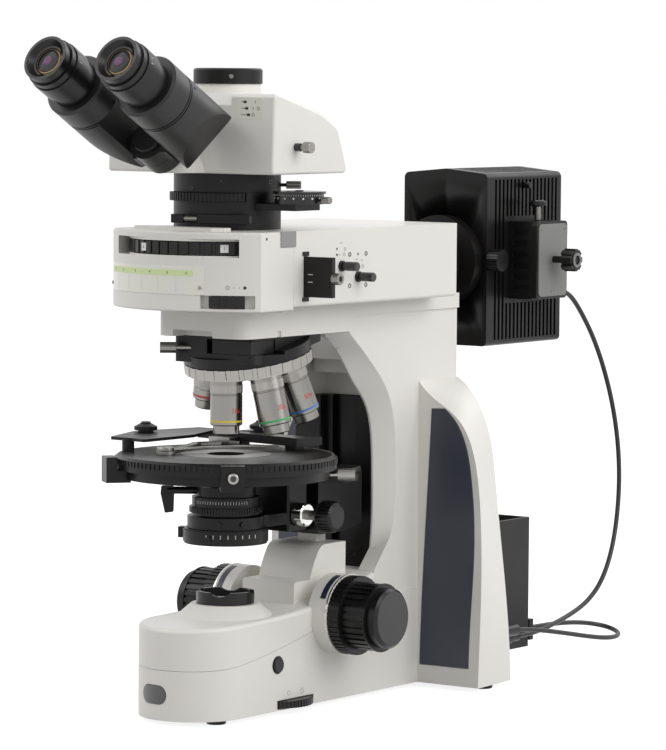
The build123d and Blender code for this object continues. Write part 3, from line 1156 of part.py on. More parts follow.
def holder_carriage():
    """Bright carriage in front of the bar with its arm, the finger's pivot and the fixed jaw."""
    low = STAGE_TOP_Z + 0.3
    saddle = holder((-70, -46), (50, RAIL_FRONT - 0.3), (low, HOLDER_PLATE_TOP_Z - 4))
    arm = strap(FINGER_PIVOT, CARRIAGE_ELBOW, 8, low, low + 2.2)
    arm = arm + strap(CARRIAGE_ELBOW, (-52, 60), 10, low, low + 2.2)
    jaw = holder((-50, 12), (52, 56), (low, low + 1.5))
    pivot = disc(FINGER_PIVOT, 8, low, low + 2.7) + disc(FINGER_PIVOT, FINGER_PIN_R, low, low + 5.2)
    write("holder_carriage", saddle + arm + jaw + pivot)


def holder_finger():
    """Curved spring finger that presses the specimen against the jaw."""
    low = STAGE_TOP_Z + 3.2
    hub, tip = Vector(*FINGER_PIVOT), Vector(*FINGER_TIP)
    side = (tip - hub).rotate(Axis.Z, 90).normalized()
    middle = (hub + tip) / 2 + side * FINGER_BOW
    outer = ThreePointArc(hub + side * 3, middle + side * 2.5, tip + side * 2)
    inner = ThreePointArc(tip - side * 2, middle - side * 2.5, hub - side * 3)
    arm = make_face(outer + Line(tip + side * 2, tip - side * 2) + inner + Line(hub - side * 3, hub + side * 3))
    finger = disc(FINGER_PIVOT, 7, low, low + 2.8) + extrude(Pos(0, 0, low) * arm, amount=1.5)
    write("holder_finger", finger - disc(FINGER_PIVOT, FINGER_PIN_R + RUNNING_FIT, low - 1, low + 5))


def holder_knobs():
    """Two domed drive knobs on the holder."""
    base = HOLDER_PLATE_TOP_Z + 0.2
    for name, spot in (("holder_knob_left", LEFT_KNOB_SPOT), ("holder_knob_right", RIGHT_KNOB_SPOT)):
        stem = disc(spot, 6.5, base, base + 2)
        skirt = ribbed((spot[0], spot[1], base + 1.5), (spot[0], spot[1], base + 4.6), 9.6, 24, 0.5)
        dome = Pos(spot[0], spot[1], base + 4.6) * Cone(9.2, 2.5, 3.6, align=(Align.CENTER, Align.CENTER, Align.MIN))
        write(name, stem + skirt + dome)


# Condenser


def lever_spot(radius):
    """Point on the axis of the swing lever, at a distance from the optical axis."""
    turn = radians(LEVER_ANGLE)
    return radius * cos(turn), radius * sin(turn), LEVER_Z


def condenser_bracket():
    """Slide plate, fork and lens body of the condenser."""
    half = CONDENSER_PLATE_HALF
    plate = block((-half, half), (CONDENSER_PLATE_FRONT_Y, CONDENSER_PLATE_REAR_Y),
                  (CONDENSER_PLATE_BOTTOM_Z, CONDENSER_PLATE_TOP_Z))
    plate = fillet(plate.edges().filter_by(Axis.Z), 2)
    arm = prism_z([(-29, 50), (29, 50), (27, 22), (10, 0), (-10, 0), (-27, 22)], FORK_BOTTOM_Z, FORK_TOP_Z)
    fork = disc((0, 0), 31, FORK_BOTTOM_Z, FORK_TOP_Z)
    lens = disc((0, 0), CONDENSER_FIT_R, POLARIZER_BOTTOM_Z + 4, APERTURE_TOP_Z + 1)
    lens = lens + disc((0, 0), CONDENSER_HEAD_R, APERTURE_TOP_Z + 0.3, LENS_TOP_Z)
    nose = Pos(0, 0, LENS_TOP_Z) * Cone(14, 11, 3.5, align=(Align.CENTER, Align.CENTER, Align.MIN))
    body = plate + arm + fork + lens + nose
    body = body - disc((0, 0), 9, POLARIZER_BOTTOM_Z, LENS_TOP_Z + 5)
    body = body - rod(lever_spot(13), lever_spot(CONDENSER_HEAD_R + 1), LEVER_STUB_R + RUNNING_FIT)
    body = body - rod((15, CONDENSER_KNOB_Y, CONDENSER_KNOB_Z), (40, CONDENSER_KNOB_Y, CONDENSER_KNOB_Z),
                      4 + RUNNING_FIT)
    for x, y in ((14, -27.5), (27, -14)):
        way = Vector(x, y, 0).normalized()
        body = body + rod(tuple(way * 29 + Vector(0, 0, 155.5)), tuple(way * 33 + Vector(0, 0, 155.5)), 2.4)
    write("condenser_bracket", body)


def aperture_ring():
    """Aperture diaphragm ring with its scale band and ribbed grip."""
    fit = CONDENSER_FIT_R + RUNNING_FIT
    ring = disc((0, 0), APERTURE_R - 1.2, APERTURE_BOTTOM_Z + 6, APERTURE_TOP_Z)
    ring = ring + ribbed((0, 0, APERTURE_BOTTOM_Z + 1.5), (0, 0, APERTURE_BOTTOM_Z + 6), APERTURE_R + 1, 72, 0.7)
    ring = ring + disc((0, 0), APERTURE_R - 1, APERTURE_BOTTOM_Z, APERTURE_BOTTOM_Z + 2)
    write("aperture_ring", ring - disc((0, 0), fit, 100, 200))


def polarizer_ring():
    """Rotating polarizer below the fork with its finger lug and index screw."""
    ring = disc((0, 0), POLARIZER_R, POLARIZER_BOTTOM_Z + 1.5, POLARIZER_TOP_Z - 1)
    ring = ring + disc((0, 0), POLARIZER_R - 1, POLARIZER_BOTTOM_Z, POLARIZER_TOP_Z)
    ring = ring - disc((0, 0), CONDENSER_FIT_R + RUNNING_FIT, POLARIZER_BOTTOM_Z + 3.7, POLARIZER_TOP_Z + 1)
    ring = ring - disc((0, 0), 15, 100, 200)
    ring = ring + ring_sector(-157, 4.5, POLARIZER_R - 6, POLARIZER_R + 4, POLARIZER_TOP_Z - 9, POLARIZER_TOP_Z - 0.3)
    spot = Vector(POLARIZER_R - 4, 0, 0).rotate(Axis.Z, -76)
    tip = Vector(POLARIZER_R + 1.7, 0, 0).rotate(Axis.Z, -76)
    ring = ring + rod((spot.X, spot.Y, 144.5), (tip.X, tip.Y, 144.5), 2.2)
    write("polarizer_ring", ring)


def condenser_lever():
    """Lever that swings the condenser's top lens in, on its stub under the stage."""
    stub = rod(lever_spot(13.5), lever_spot(LEVER_END), LEVER_STUB_R)
    blade = prism_y([(-5, 184), (5, 184), (5.5, 178), (2, 162), (-5, 163), (-5.5, 178)], -2, 2, 1.2)
    tip = lever_spot(LEVER_END)
    blade = Pos(tip[0], tip[1], 0) * Rot(0, 0, LEVER_ANGLE) * blade
    write("condenser_lever", stub + blade)


def condenser_knob():
    """Height knob of the condenser with its bright collar."""
    y, z = CONDENSER_KNOB_Y, CONDENSER_KNOB_Z
    stem = rod((17, y, z), (46, y, z), 4)
    collar = rod((CONDENSER_PLATE_HALF + 1.5, y, z), (40, y, z), 7.5)
    grip = ribbed((46, y, z), (70, y, z), CONDENSER_KNOB_R, 28, 0.8)
    write("condenser_knob", stem + collar + grip)


# Lamp house


def lamp_house():
    """Finned lamp house with a gabled roof, and the collar on the illuminator."""
    roof = [(-HOUSE_HALF, HOUSE_BOTTOM_Z), (-HOUSE_HALF, HOUSE_TOP_Z), (0, HOUSE_RIDGE_Z),
            (HOUSE_HALF, HOUSE_TOP_Z), (HOUSE_HALF, HOUSE_BOTTOM_Z)]
    house = prism_y(roof, HOUSE_FRONT_Y, HOUSE_REAR_Y, [4, 5, 0, 5, 4])
    count = int((HOUSE_REAR_Y - HOUSE_FRONT_Y - 16) / HOUSE_RIB_PITCH)
    for index in range(count):
        y = HOUSE_FRONT_Y + 12 + index * HOUSE_RIB_PITCH
        for side in (-1, 1):
            low, high = sorted((side * (HOUSE_HALF - HOUSE_RIB_DEPTH), side * (HOUSE_HALF + 1)))
            house = house - block((low, high), (y, y + HOUSE_RIB_PITCH / 2), (HOUSE_BOTTOM_Z + 5, HOUSE_TOP_Z - 5))
        house = house - block((-HOUSE_HALF + 8, HOUSE_HALF - 8), (y, y + HOUSE_RIB_PITCH / 2),
                              (HOUSE_TOP_Z - 1.0, HOUSE_RIDGE_Z + 5))
    house = house + block((HOUSE_HALF - 6, HOUSE_HALF), (SOCKET_Y[0] - 4, SOCKET_Y[1] + 4),
                          (SOCKET_Z[0] - 4, SOCKET_Z[1] + 4))
    tube = rod((0, LAMP_REAR_Y, LAMP_AXIS_Z), (0, HOUSE_FRONT_Y, LAMP_AXIS_Z), COLLAR_TUBE_R)
    flange = rod((0, HOUSE_FRONT_Y - 12, LAMP_AXIS_Z), (0, HOUSE_FRONT_Y, LAMP_AXIS_Z), COLLAR_FLANGE_R)
    tube = tube + flange
    tube = tube - rod((0, LAMP_REAR_Y - 1, LAMP_AXIS_Z), (0, HOUSE_FRONT_Y + 1, LAMP_AXIS_Z), COLLAR_BORE_R)
    room = block((-HOUSE_HALF + 12, HOUSE_HALF - 12), (HOUSE_FRONT_Y - 1, HOUSE_REAR_Y - 12),
                 (HOUSE_BOTTOM_Z + 12, HOUSE_TOP_Z - 14))
    room = room & rod((0, HOUSE_FRONT_Y - 1, LAMP_AXIS_Z), (0, HOUSE_REAR_Y, LAMP_AXIS_Z), 60)
    house = house - (room & block((-90, 90), (HOUSE_FRONT_Y + 6, 500), (0, 500)))
    house = house - rod((0, HOUSE_FRONT_Y - 1, LAMP_AXIS_Z), (0, HOUSE_FRONT_Y + 10, LAMP_AXIS_Z), COLLAR_BORE_R)
    house = house - rod((30, COLLECTOR_Y, COLLECTOR_Z), (50, COLLECTOR_Y, COLLECTOR_Z), 3 + RUNNING_FIT)
    write("lamp_house", house, tube)


def lamp_socket():
    """Lamp socket on the right of the lamp house with its face plate, set screws and cable gland."""
    body = block((HOUSE_HALF, SOCKET_END - 6), SOCKET_Y, SOCKET_Z)
    for index in range(6):
        z = SOCKET_Z[0] + 8 + index * 9.5
        body = body - block((HOUSE_HALF + 4, SOCKET_END - 9), (SOCKET_Y[0] - 1, SOCKET_Y[0] + 1.5), (z, z + 4))
    plate = block((SOCKET_END - 6, SOCKET_END), SOCKET_Y, SOCKET_Z)
    plate = fillet(plate.edges().filter_by(Axis.X), 4)
    y = (SOCKET_Y[0] + SOCKET_Y[1]) / 2
    stem = rod((57, y, SOCKET_Z[1] - 2), (57, y, 402), 2.2)
    tee = rod((57, y - 7, 404), (57, y + 7, 404), 3.0)
    small = rod((HOUSE_HALF - 4, 371.7, 419.5), (HOUSE_HALF + 7, 371.7, 419.5), 2.5)
    gland_x, gland_z = GLAND_XZ
    gland = rod((gland_x, SOCKET_Y[1] - 1, gland_z), (gland_x, SOCKET_Y[1] + 8, gland_z), 4.2)
    star_room = rod((SOCKET_END - 20, STAR_Y, LAMP_AXIS_Z + 1), (SOCKET_END + 1, STAR_Y, LAMP_AXIS_Z + 1), 3 + RUNNING_FIT)
    whole = body + plate + stem + tee + gland - star_room
    write("lamp_socket", whole, small & block((HOUSE_HALF, 60), (300, 500), (400, 450)))


def lamp_knobs():
    """Collector knob on the lamp house and star-shaped clamp knob of the socket."""
    stem = rod((32, COLLECTOR_Y, COLLECTOR_Z), (HOUSE_HALF + 2, COLLECTOR_Y, COLLECTOR_Z), 3)
    knob = ribbed((HOUSE_HALF + 1, COLLECTOR_Y, COLLECTOR_Z), (HOUSE_HALF + 12, COLLECTOR_Y, COLLECTOR_Z),
                  COLLECTOR_R, 24, 0.6)
    write("collector_knob", stem + knob)
    z = LAMP_AXIS_Z + 1
    stem = rod((SOCKET_END - 18, STAR_Y, z), (SOCKET_END + 14, STAR_Y, z), 3)
    star = ribbed((SOCKET_END + 13, STAR_Y, z), (SOCKET_END + 24, STAR_Y, z), STAR_R, 8, 2.0)
    write("star_knob", stem + star)


def power_supply_box():
    """Supply box behind the legs with an open ribbed top and its connector."""
    low, high = SUPPLY_BOTTOM_Z, SUPPLY_TOP_Z
    box = block((-SUPPLY_HALF, SUPPLY_HALF), (COLUMN_REAR_Y, SUPPLY_REAR_Y), (low, high))
    box = fillet(box.edges().filter_by(Axis.Z).group_by(Axis.Y)[-1], 3)
    box = box - block((-SUPPLY_HALF + 4, SUPPLY_HALF - 4), (COLUMN_REAR_Y + 4, SUPPLY_REAR_Y - 4), (high - 8, high + 1))
    for index in range(10):
        x = -54 + index * 12
        box = box - block((x, x + 4), (COLUMN_REAR_Y + 12, SUPPLY_REAR_Y - 12), (high - 14, high - 7))
    x, z = SUPPLY_SOCKET_XZ
    socket = block((x - 8, x + 8), (SUPPLY_REAR_Y, SUPPLY_REAR_Y + 6), (z - 9, z + 9))
    write("power_supply_box", box + socket)


# Cables


def cable_path(points):
    """Straight runs joined by tangent arcs, each as large as its two runs allow."""
    radii = []
    for before, here, after in zip(points, points[1:], points[2:]):
        first, second = Vector(*here) - Vector(*before), Vector(*after) - Vector(*here)
        turn = first.get_angle(second)
        radii.append(round(0.45 * min(first.length, second.length) / tan(radians(turn / 2)), 2))
    print("radii", radii)
    return FilletPolyline(*points, radius=radii)


def cable(name, points):
    """One cable as a plain round tube along its path."""
    path = cable_path(points)
    start = Plane(origin=path @ 0, z_dir=path % 0)
    tube = sweep(start * Circle(CABLE_R), path=path)
    section = Circle(CABLE_R).area
    print(name, "length", round(path.length, 1), "volume", round(tube.volume), "expected", round(section * path.length))
    write(name, tube)


def cable_plugs():
    """Round plugs of both cables in the sockets of the right leg, and the plug on the supply box."""
    x, z = LAMP_PLUG_XZ
    lower = rod((x, COLUMN_REAR_Y, z), (x, 292, z), PLUG_R)
    lower = lower + rod((x, 292, z), (x, 305, z), PLUG_R - 1.2)
    x, z = SUPPLY_PLUG_XZ
    upper = rod((x, COLUMN_REAR_Y, z), (x, 290, z), PLUG_R)
    write("cable_plugs", lower, upper)


base_lower_shell()
base_upper_shell()
clear_windows()
rubber_feet()
field_diaphragm_ring()
light_button()
dimmer_wheel()
focus_rings()
coarse_knobs()
fine_knobs()
stand_column()
side_panels()
guide_plate()
stand_head()
illuminator_front()
illuminator_housing()
filter_wheel()
shutter_slider()
filter_slider()
pull_rods()
intermediate_tube()
bertrand_wheel()
compensator_slider()
analyzer_slab()
analyzer_dial()
head_housing()
eye_tubes()
eyepieces()
beam_splitter_rod()
photo_port()
nosepiece_mount()
nosepiece_turret()
objectives()
nosepiece_lock_screw()
slot_slider()
stage_bracket()
stage_disc()
stage_lock_knob()
holder_rail()
holder_carriage()
holder_finger()
holder_knobs()
condenser_bracket()
aperture_ring()
polarizer_ring()
condenser_lever()
condenser_knob()
lamp_house()
lamp_socket()
lamp_knobs()
power_supply_box()
cable("lamp_cable", LAMP_CABLE_POINTS)
cable("supply_cable", SUPPLY_CABLE_POINTS)
cable_plugs()
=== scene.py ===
"""Polarizing microscope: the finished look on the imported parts.

Sizes in the classes are millimetres about the optical axis, as a maker would measure them. They become
metres in the shared frame through to_frame().
"""
import logging
import math
from dataclasses import dataclass
from enum import Enum
from typing import Callable, Optional, Sequence

import bmesh
import bpy
import numpy as np
from mathutils import Matrix, Vector

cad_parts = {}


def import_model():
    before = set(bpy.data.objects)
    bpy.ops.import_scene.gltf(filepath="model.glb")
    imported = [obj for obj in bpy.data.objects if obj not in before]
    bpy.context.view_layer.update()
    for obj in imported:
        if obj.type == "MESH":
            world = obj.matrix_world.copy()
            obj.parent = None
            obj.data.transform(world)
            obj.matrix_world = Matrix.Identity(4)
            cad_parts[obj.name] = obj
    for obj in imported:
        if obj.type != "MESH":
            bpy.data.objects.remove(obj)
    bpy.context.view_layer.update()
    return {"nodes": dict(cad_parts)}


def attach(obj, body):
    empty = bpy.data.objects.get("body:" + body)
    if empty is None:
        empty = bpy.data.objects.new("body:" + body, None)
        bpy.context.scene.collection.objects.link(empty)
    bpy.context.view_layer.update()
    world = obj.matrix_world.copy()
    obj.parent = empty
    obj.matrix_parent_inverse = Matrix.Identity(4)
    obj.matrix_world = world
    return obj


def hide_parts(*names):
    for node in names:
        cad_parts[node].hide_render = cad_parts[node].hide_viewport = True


LOG = logging.getLogger("microscope")
FRAME_Y = 117.3  # the frame's origin lies this far behind the optical axis
IMAGE_HEIGHT = 750
EYE_TILT = 29.0
EYE_FOOT = (34.7, -69.4, 460.7)  # foot of the right eyepiece tube

Mesh, Thing, Tree = bpy.types.Mesh, bpy.types.Object, bpy.types.NodeTree
Vec3 = tuple[float, float, float]
Span = tuple[float, float]
NODES: dict[str, Thing] = {}  # the frame's CAD nodes, filled by main()


def to_frame(points: np.ndarray) -> np.ndarray:
    """Turn millimetres about the optical axis into metres in the shared frame.

    Args:
        points: array whose last axis holds X, Y and Z in millimetres.

    Returns:
        The same points in metres, moved to the frame's origin.
    """
    return (np.asarray(points, float) - np.array([0.0, FRAME_Y, 0.0])) / 1000.0


class Edge(Enum):
    """How an edge of a finished piece is broken, in metres."""

    CRISP = 0.0
    FINE = 0.00025
    SOFT = 0.0006


def wire(tree: Tree, *links: tuple) -> None:
    """Join sockets of a tree. Each link is a node, its output, the next node and its input."""
    for source, leaving, target, entering in links:
        tree.links.new(source.outputs[leaving], target.inputs[entering])


def fill(node: bpy.types.Node, values: dict) -> bpy.types.Node:
    """Set a node's inputs by name and give the node back."""
    for name, value in values.items():
        node.inputs[name].default_value = value
    return node


def new_group(name: str, kind: str, form: str, entry: str, exits: Sequence[str]) -> tuple:
    """Make a node group whose sockets all have one form.

    Args:
        name: the group's name.
        kind: the type of its tree.
        form: the type of its sockets.
        entry: the name of its input.
        exits: the names of its outputs.

    Returns:
        The tree, its entry node and its exit node.
    """
    tree = bpy.data.node_groups.new(name, kind)
    tree.interface.new_socket(entry, in_out="INPUT", socket_type=form)
    for label in exits:
        tree.interface.new_socket(label, in_out="OUTPUT", socket_type=form)
    return tree, tree.nodes.new("NodeGroupInput"), tree.nodes.new("NodeGroupOutput")


def grain_group() -> Tree:
    """Build the shared grain effect once: a fine noise as a height, and a broad one as a mask."""
    found = bpy.data.node_groups.get("surface grain")
    if found:
        return found
    tree, entry, leave = new_group("surface grain", "ShaderNodeTree", "NodeSocketFloat", "Scale", ("Height", "Mask"))
    place = tree.nodes.new("ShaderNodeTexCoord")
    fine = fill(tree.nodes.new("ShaderNodeTexNoise"), {"Detail": 2.0})
    broad = fill(tree.nodes.new("ShaderNodeTexNoise"), {"Scale": 14.0, "Detail": 3.0})
    wire(tree, (place, "Object", fine, "Vector"), (place, "Object", broad, "Vector"),
         (entry, "Scale", fine, "Scale"), (fine, "Fac", leave, "Height"), (broad, "Fac", leave, "Mask"))
    return tree


@dataclass(frozen=True)
class Finish:
    """One finish: its colour and how it shines. The colour is linear red, green and blue."""

    name: str
    slot: str
    colour: Vec3
    roughness: float = 0.5
    metallic: float = 0.0
    coat: float = 0.0
    grain_scale: float = 900.0
    grain_depth: float = 0.0
    rough_spread: float = 0.06
    tone_spread: float = 0.05
    specular: float = 0.5

    def material(self) -> bpy.types.Material:
        """Make the material, or give the one that is already made.

        Returns:
            The material with the shared grain in its roughness and normal.
        """
        found = bpy.data.materials.get(self.name)
        if found:
            return found
        made = bpy.data.materials.new(self.name)
        made.use_nodes = True
        tree = made.node_tree
        shader = fill(tree.nodes["Principled BSDF"], {
            "Base Color": (*self.colour, 1.0), "Metallic": self.metallic, "Coat Weight": self.coat,
            "Coat Roughness": 0.12, "Specular IOR Level": self.specular, "Roughness": self.roughness})
        if not self.grain_depth:
            return made
        grain = tree.nodes.new("ShaderNodeGroup")
        grain.node_tree = grain_group()
        fill(grain, {"Scale": self.grain_scale})
        bump = fill(tree.nodes.new("ShaderNodeBump"), {"Strength": self.grain_depth, "Distance": 0.0003})
        spread = fill(tree.nodes.new("ShaderNodeMapRange"), {
            "From Min": 0.3, "From Max": 0.7, "To Min": self.roughness - self.rough_spread,
            "To Max": self.roughness + self.rough_spread})
        tone = tree.nodes.new("ShaderNodeMix")
        tone.data_type = "RGBA"
        fill(tone, {"A": (*(value * (1.0 - self.tone_spread) for value in self.colour), 1.0),
                    "B": (*self.colour, 1.0)})
        wire(tree, (grain, "Height", bump, "Height"), (bump, "Normal", shader, "Normal"),
             (grain, "Mask", spread, "Value"), (spread, "Result", shader, "Roughness"),
             (grain, "Mask", tone, "Factor"), (tone, "Result", shader, "Base Color"))
        return made


WHITE_PAINT = Finish("warm white paint", "white_paint", (0.80, 0.785, 0.74), 0.40, coat=0.12, grain_depth=0.08)
BLACK_PAINT = Finish("black satin paint", "black_paint", (0.0080, 0.0072, 0.0070), 0.36, grain_depth=0.12,
                     specular=0.24)
DIAL_BLACK = Finish("black dial", "black_paint", (0.0080, 0.0080, 0.0078), 0.24, grain_depth=0.03, specular=0.5)
NAVY_PAINT = Finish("navy panel", "navy_paint", (0.040, 0.046, 0.066), 0.42, coat=0.05, grain_depth=0.05)
BOX_PAINT = Finish("dark supply box", "navy_paint", (0.020, 0.018, 0.018), 0.5, grain_depth=0.12, specular=0.25)
BLACK_PLASTIC = Finish("black plastic", "black_plastic", (0.0080, 0.0074, 0.0074), 0.32, grain_depth=0.08,
                       specular=0.32)
TUBE_BLACK = Finish("black tube paint", "black_plastic", (0.0135, 0.0130, 0.0130), 0.42, coat=0.05,
                    grain_depth=0.05, specular=0.38)
GLOSS_BLACK = Finish("gloss black", "gloss_black", (0.006, 0.0055, 0.0055), 0.14, coat=0.4)
STEEL = Finish("satin steel", "steel", (0.34, 0.33, 0.31), 0.25, metallic=1.0, grain_depth=0.03)
BARREL_STEEL = Finish("objective steel", "steel", (0.27, 0.262, 0.245), 0.20, metallic=1.0, grain_depth=0.02)
DULL_STEEL = Finish("dull steel", "steel", (0.28, 0.27, 0.25), 0.34, metallic=1.0, grain_depth=0.03)
CHROME = Finish("chrome", "steel", (0.70, 0.70, 0.69), 0.12, metallic=1.0)
RUBBER = Finish("black rubber", "rubber", (0.012, 0.012, 0.012), 0.55, grain_depth=0.1, specular=0.3)
CABLE_SKIN = Finish("cable skin", "rubber", (0.014, 0.014, 0.014), 0.38, grain_depth=0.04, specular=0.45)
LENS_GLASS = Finish("coated lens", "glass", (0.010, 0.006, 0.008), 0.04, specular=0.20)
# purple of the lens coating, painted as a reflection patch at the middle of each eye lens
LENS_PURPLE_REFLECTION = Finish("painted purple lens reflection", "glass", (0.13, 0.035, 0.13), 0.10, specular=0.20)
# brown gold of the lens coating, painted as a reflection ring near the rim of each eye lens
LENS_GOLD_REFLECTION = Finish("painted gold lens reflection", "steel", (0.30, 0.20, 0.10), 0.20, metallic=1.0)
CLEAR_GLASS = Finish("field lens", "glass", (0.25, 0.26, 0.27), 0.06, coat=1.0)
SMOKED = Finish("smoked window", "glass", (0.004, 0.004, 0.005), 0.08, coat=1.0)
MARK_WHITE = Finish("white marks", "light_grey", (0.80, 0.80, 0.78), 0.5)
MARK_DARK = Finish("dark marks", "black_plastic", (0.03, 0.03, 0.03), 0.5)
STRIP_GREEN = Finish("pale green strip", "light_grey", (0.68, 0.80, 0.42), 0.5)
CHART_CREAM = Finish("cream plate", "light_grey", (0.80, 0.79, 0.72), 0.25, coat=0.6)
GREY_PLASTIC = Finish("light grey face", "grey_plastic", (0.20, 0.205, 0.195), 0.5, grain_depth=0.05)
RING_YELLOW = Finish("yellow ring", "steel", (0.80, 0.62, 0.03), 0.4)
RING_GREEN = Finish("green ring", "steel", (0.03, 0.42, 0.10), 0.4)
RING_BLUE = Finish("blue ring", "steel", (0.05, 0.20, 0.60), 0.4)
RING_RED = Finish("red ring", "steel", (0.62, 0.04, 0.03), 0.4)
PALE_LINE = Finish("pale lines", "light_grey", (0.58, 0.56, 0.52), 0.5)
CLIP_GREY = Finish("grey clip", "grey_plastic", (0.26, 0.26, 0.25), 0.32, coat=0.3)
SHADED_STEEL = Finish("shaded steel", "steel", (0.20, 0.195, 0.185), 0.42, metallic=1.0, grain_depth=0.02)
PALE_MARK = Finish("grey marks", "light_grey", (0.36, 0.36, 0.34), 0.5)
BRIGHT_TRIM = Finish("bright trim", "steel", (0.78, 0.77, 0.74), 0.22, metallic=1.0, grain_depth=0.02)
LABEL_NAVY = Finish("navy label", "navy_paint", (0.018, 0.022, 0.045), 0.35)
CAP_FACE = Finish("cap face", "black_plastic", (0.030, 0.030, 0.030), 0.55, grain_depth=0.05)


@dataclass(frozen=True)
class Place:
    """A local set of axes, in millimetres about the optical axis."""

    origin: Sequence[float]
    x: Sequence[float] = (1.0, 0.0, 0.0)
    z: Sequence[float] = (0.0, 0.0, 1.0)

    def axes(self) -> np.ndarray:
        """Rows x, y and z of length one, with x made square to z."""
        z = np.array(self.z, float) / np.linalg.norm(self.z)
        x = np.array(self.x, float)
        x = x - z * (x @ z)
        x = x / np.linalg.norm(x)
        return np.array([x, np.cross(z, x), z])

    def out(self, points: np.ndarray) -> np.ndarray:
        """Carry local points into the shared frame.

        Args:
            points: array whose last axis holds local x, y and z in millimetres.

        Returns:
            Points in metres in the shared frame.
        """
        return to_frame(np.asarray(points, float) @ self.axes() + np.array(self.origin, float))


def side_place(x: float, y: float, z: float) -> Place:
    """Axes on a face that looks to the right: x back, y up and z out of it."""
    return Place((x, y, z), (0, 1, 0), (1, 0, 0))


def front_face(x: float, y: float, z: float) -> Place:
    """Axes on a face that looks to the front: x to the right, y up and z out of it."""
    return Place((x, y, z), (1, 0, 0), (0, -1, 0))


def from_front(angle: float) -> np.ndarray:
    """Level direction at an angle in degrees from the front towards the right."""
    turn = math.radians(angle)
    return np.array([math.sin(turn), -math.cos(turn), 0.0])


def from_right(angle: float) -> np.ndarray:
    """Level direction at an angle in degrees from the right towards the back."""
    turn = math.radians(angle)
    return np.array([math.cos(turn), math.sin(turn), 0.0])


def pointing(way: np.ndarray, reach: float, level: float) -> Place:
    """Axes with z along a level direction, at a distance along it from the optical axis, and x up."""
    return Place((reach * way[0], reach * way[1], level), (0, 0, 1), way)


def band(inner: float, outer: float, low: float, high: float) -> list[Span]:
    """Profile of a plain ring: two radii and two heights."""
    return [(inner, low), (outer, low), (outer, high), (inner, high)]


def outward(mesh: Mesh, doubles: float = 0.0) -> Mesh:
    """Turn a mesh's normals outwards, with doubles merged first where a distance is given."""
    work = bmesh.new()
    work.from_mesh(mesh)
    if doubles:
        bmesh.ops.remove_doubles(work, verts=work.verts, dist=doubles)
    bmesh.ops.recalc_face_normals(work, faces=work.faces)
    work.to_mesh(mesh)
    work.free()
    return mesh


def mesh_from(name: str, points: np.ndarray, faces: np.ndarray) -> Mesh:
    """Make a mesh from metres and face corners, with doubles merged and normals outwards."""
    mesh = bpy.data.meshes.new(name)
    mesh.from_pydata(points.reshape(-1, 3).tolist(), [], faces.tolist())
    return outward(mesh, 1e-6)


def grid_faces(rows: int, columns: int, close_rows: bool, close_columns: bool) -> np.ndarray:
    """Corner numbers of the quads of a grid of points, closed round either way."""
    i = np.arange(rows if close_rows else rows - 1)
    j = np.arange(columns if close_columns else columns - 1)
    a, b = np.meshgrid(i, j, indexing="ij")
    a2, b2 = (a + 1) % rows, (b + 1) % columns
    corners = np.stack([a * columns + b, a2 * columns + b, a2 * columns + b2, a * columns + b2], axis=-1)
    return corners.reshape(-1, 4)


def teeth(count: int, depth: float) -> Callable[[np.ndarray], np.ndarray]:
    """Ripple with square teeth: the radius grows and shrinks by the depth, count times round."""

    def ripple(angle: np.ndarray) -> np.ndarray:
        """Factor on the radius at each angle."""
        return 1.0 + depth * np.sign(np.sin(angle * count + 1e-4))

    return ripple


def turned(name: str, place: Place, profile: Sequence[Span], steps: int = 96,
           ripple: Optional[Callable[[np.ndarray], np.ndarray]] = None) -> Mesh:
    """Surface of revolution: a profile of radius and height carried round the local z axis.

    Each point is (r cos a, r sin a, h), with r scaled by the ripple at the angle a where r is largest.

    Args:
        name: the mesh's name.
        place: the axes that it stands on.
        profile: radius and height pairs, closed at the axis or on itself.
        steps: points round the circle.
        ripple: factor on the radius at each angle, for ribs and flutes.

    Returns:
        The closed mesh.
    """
    rim = np.array(profile, float)
    angle = np.linspace(0.0, 2 * np.pi, steps, endpoint=False)
    factor = ripple(angle) if ripple else np.ones(steps)
    radius = np.outer(rim[:, 0], factor)
    points = np.stack([radius * np.cos(angle), radius * np.sin(angle),
                       np.repeat(rim[:, 1:2], steps, axis=1)], axis=-1)
    ring = bool(rim[0, 0] > 1e-6)
    return mesh_from(name, place.out(points), grid_faces(len(rim), steps, ring, True))


def bar_of(name: str, place: Place, outline: np.ndarray, low: float, high: float) -> Mesh:
    """Prism: a closed outline in local x and y between two levels of local z, with capped ends."""
    count = len(outline)
    flat = np.concatenate([np.c_[outline, np.full(count, level)] for level in (low, high)])
    mesh = bpy.data.meshes.new(name)
    caps = [list(range(count)), list(range(count, 2 * count))]
    mesh.from_pydata(place.out(flat).tolist(), [], grid_faces(2, count, False, True).tolist() + caps)
    return outward(mesh)


def rounded(width: float, height: float, radius: float, steps: int = 8) -> np.ndarray:
    """Outline of a rectangle with round corners, about the origin."""
    turn = np.linspace(0, np.pi / 2, steps)
    parts = []
    for quarter, (sx, sy) in enumerate(((1, 1), (-1, 1), (-1, -1), (1, -1))):
        angle = turn + quarter * np.pi / 2
        centre = np.array([sx * (width / 2 - radius), sy * (height / 2 - radius)])
        parts.append(centre + radius * np.c_[np.cos(angle), np.sin(angle)])
    return np.concatenate(parts)


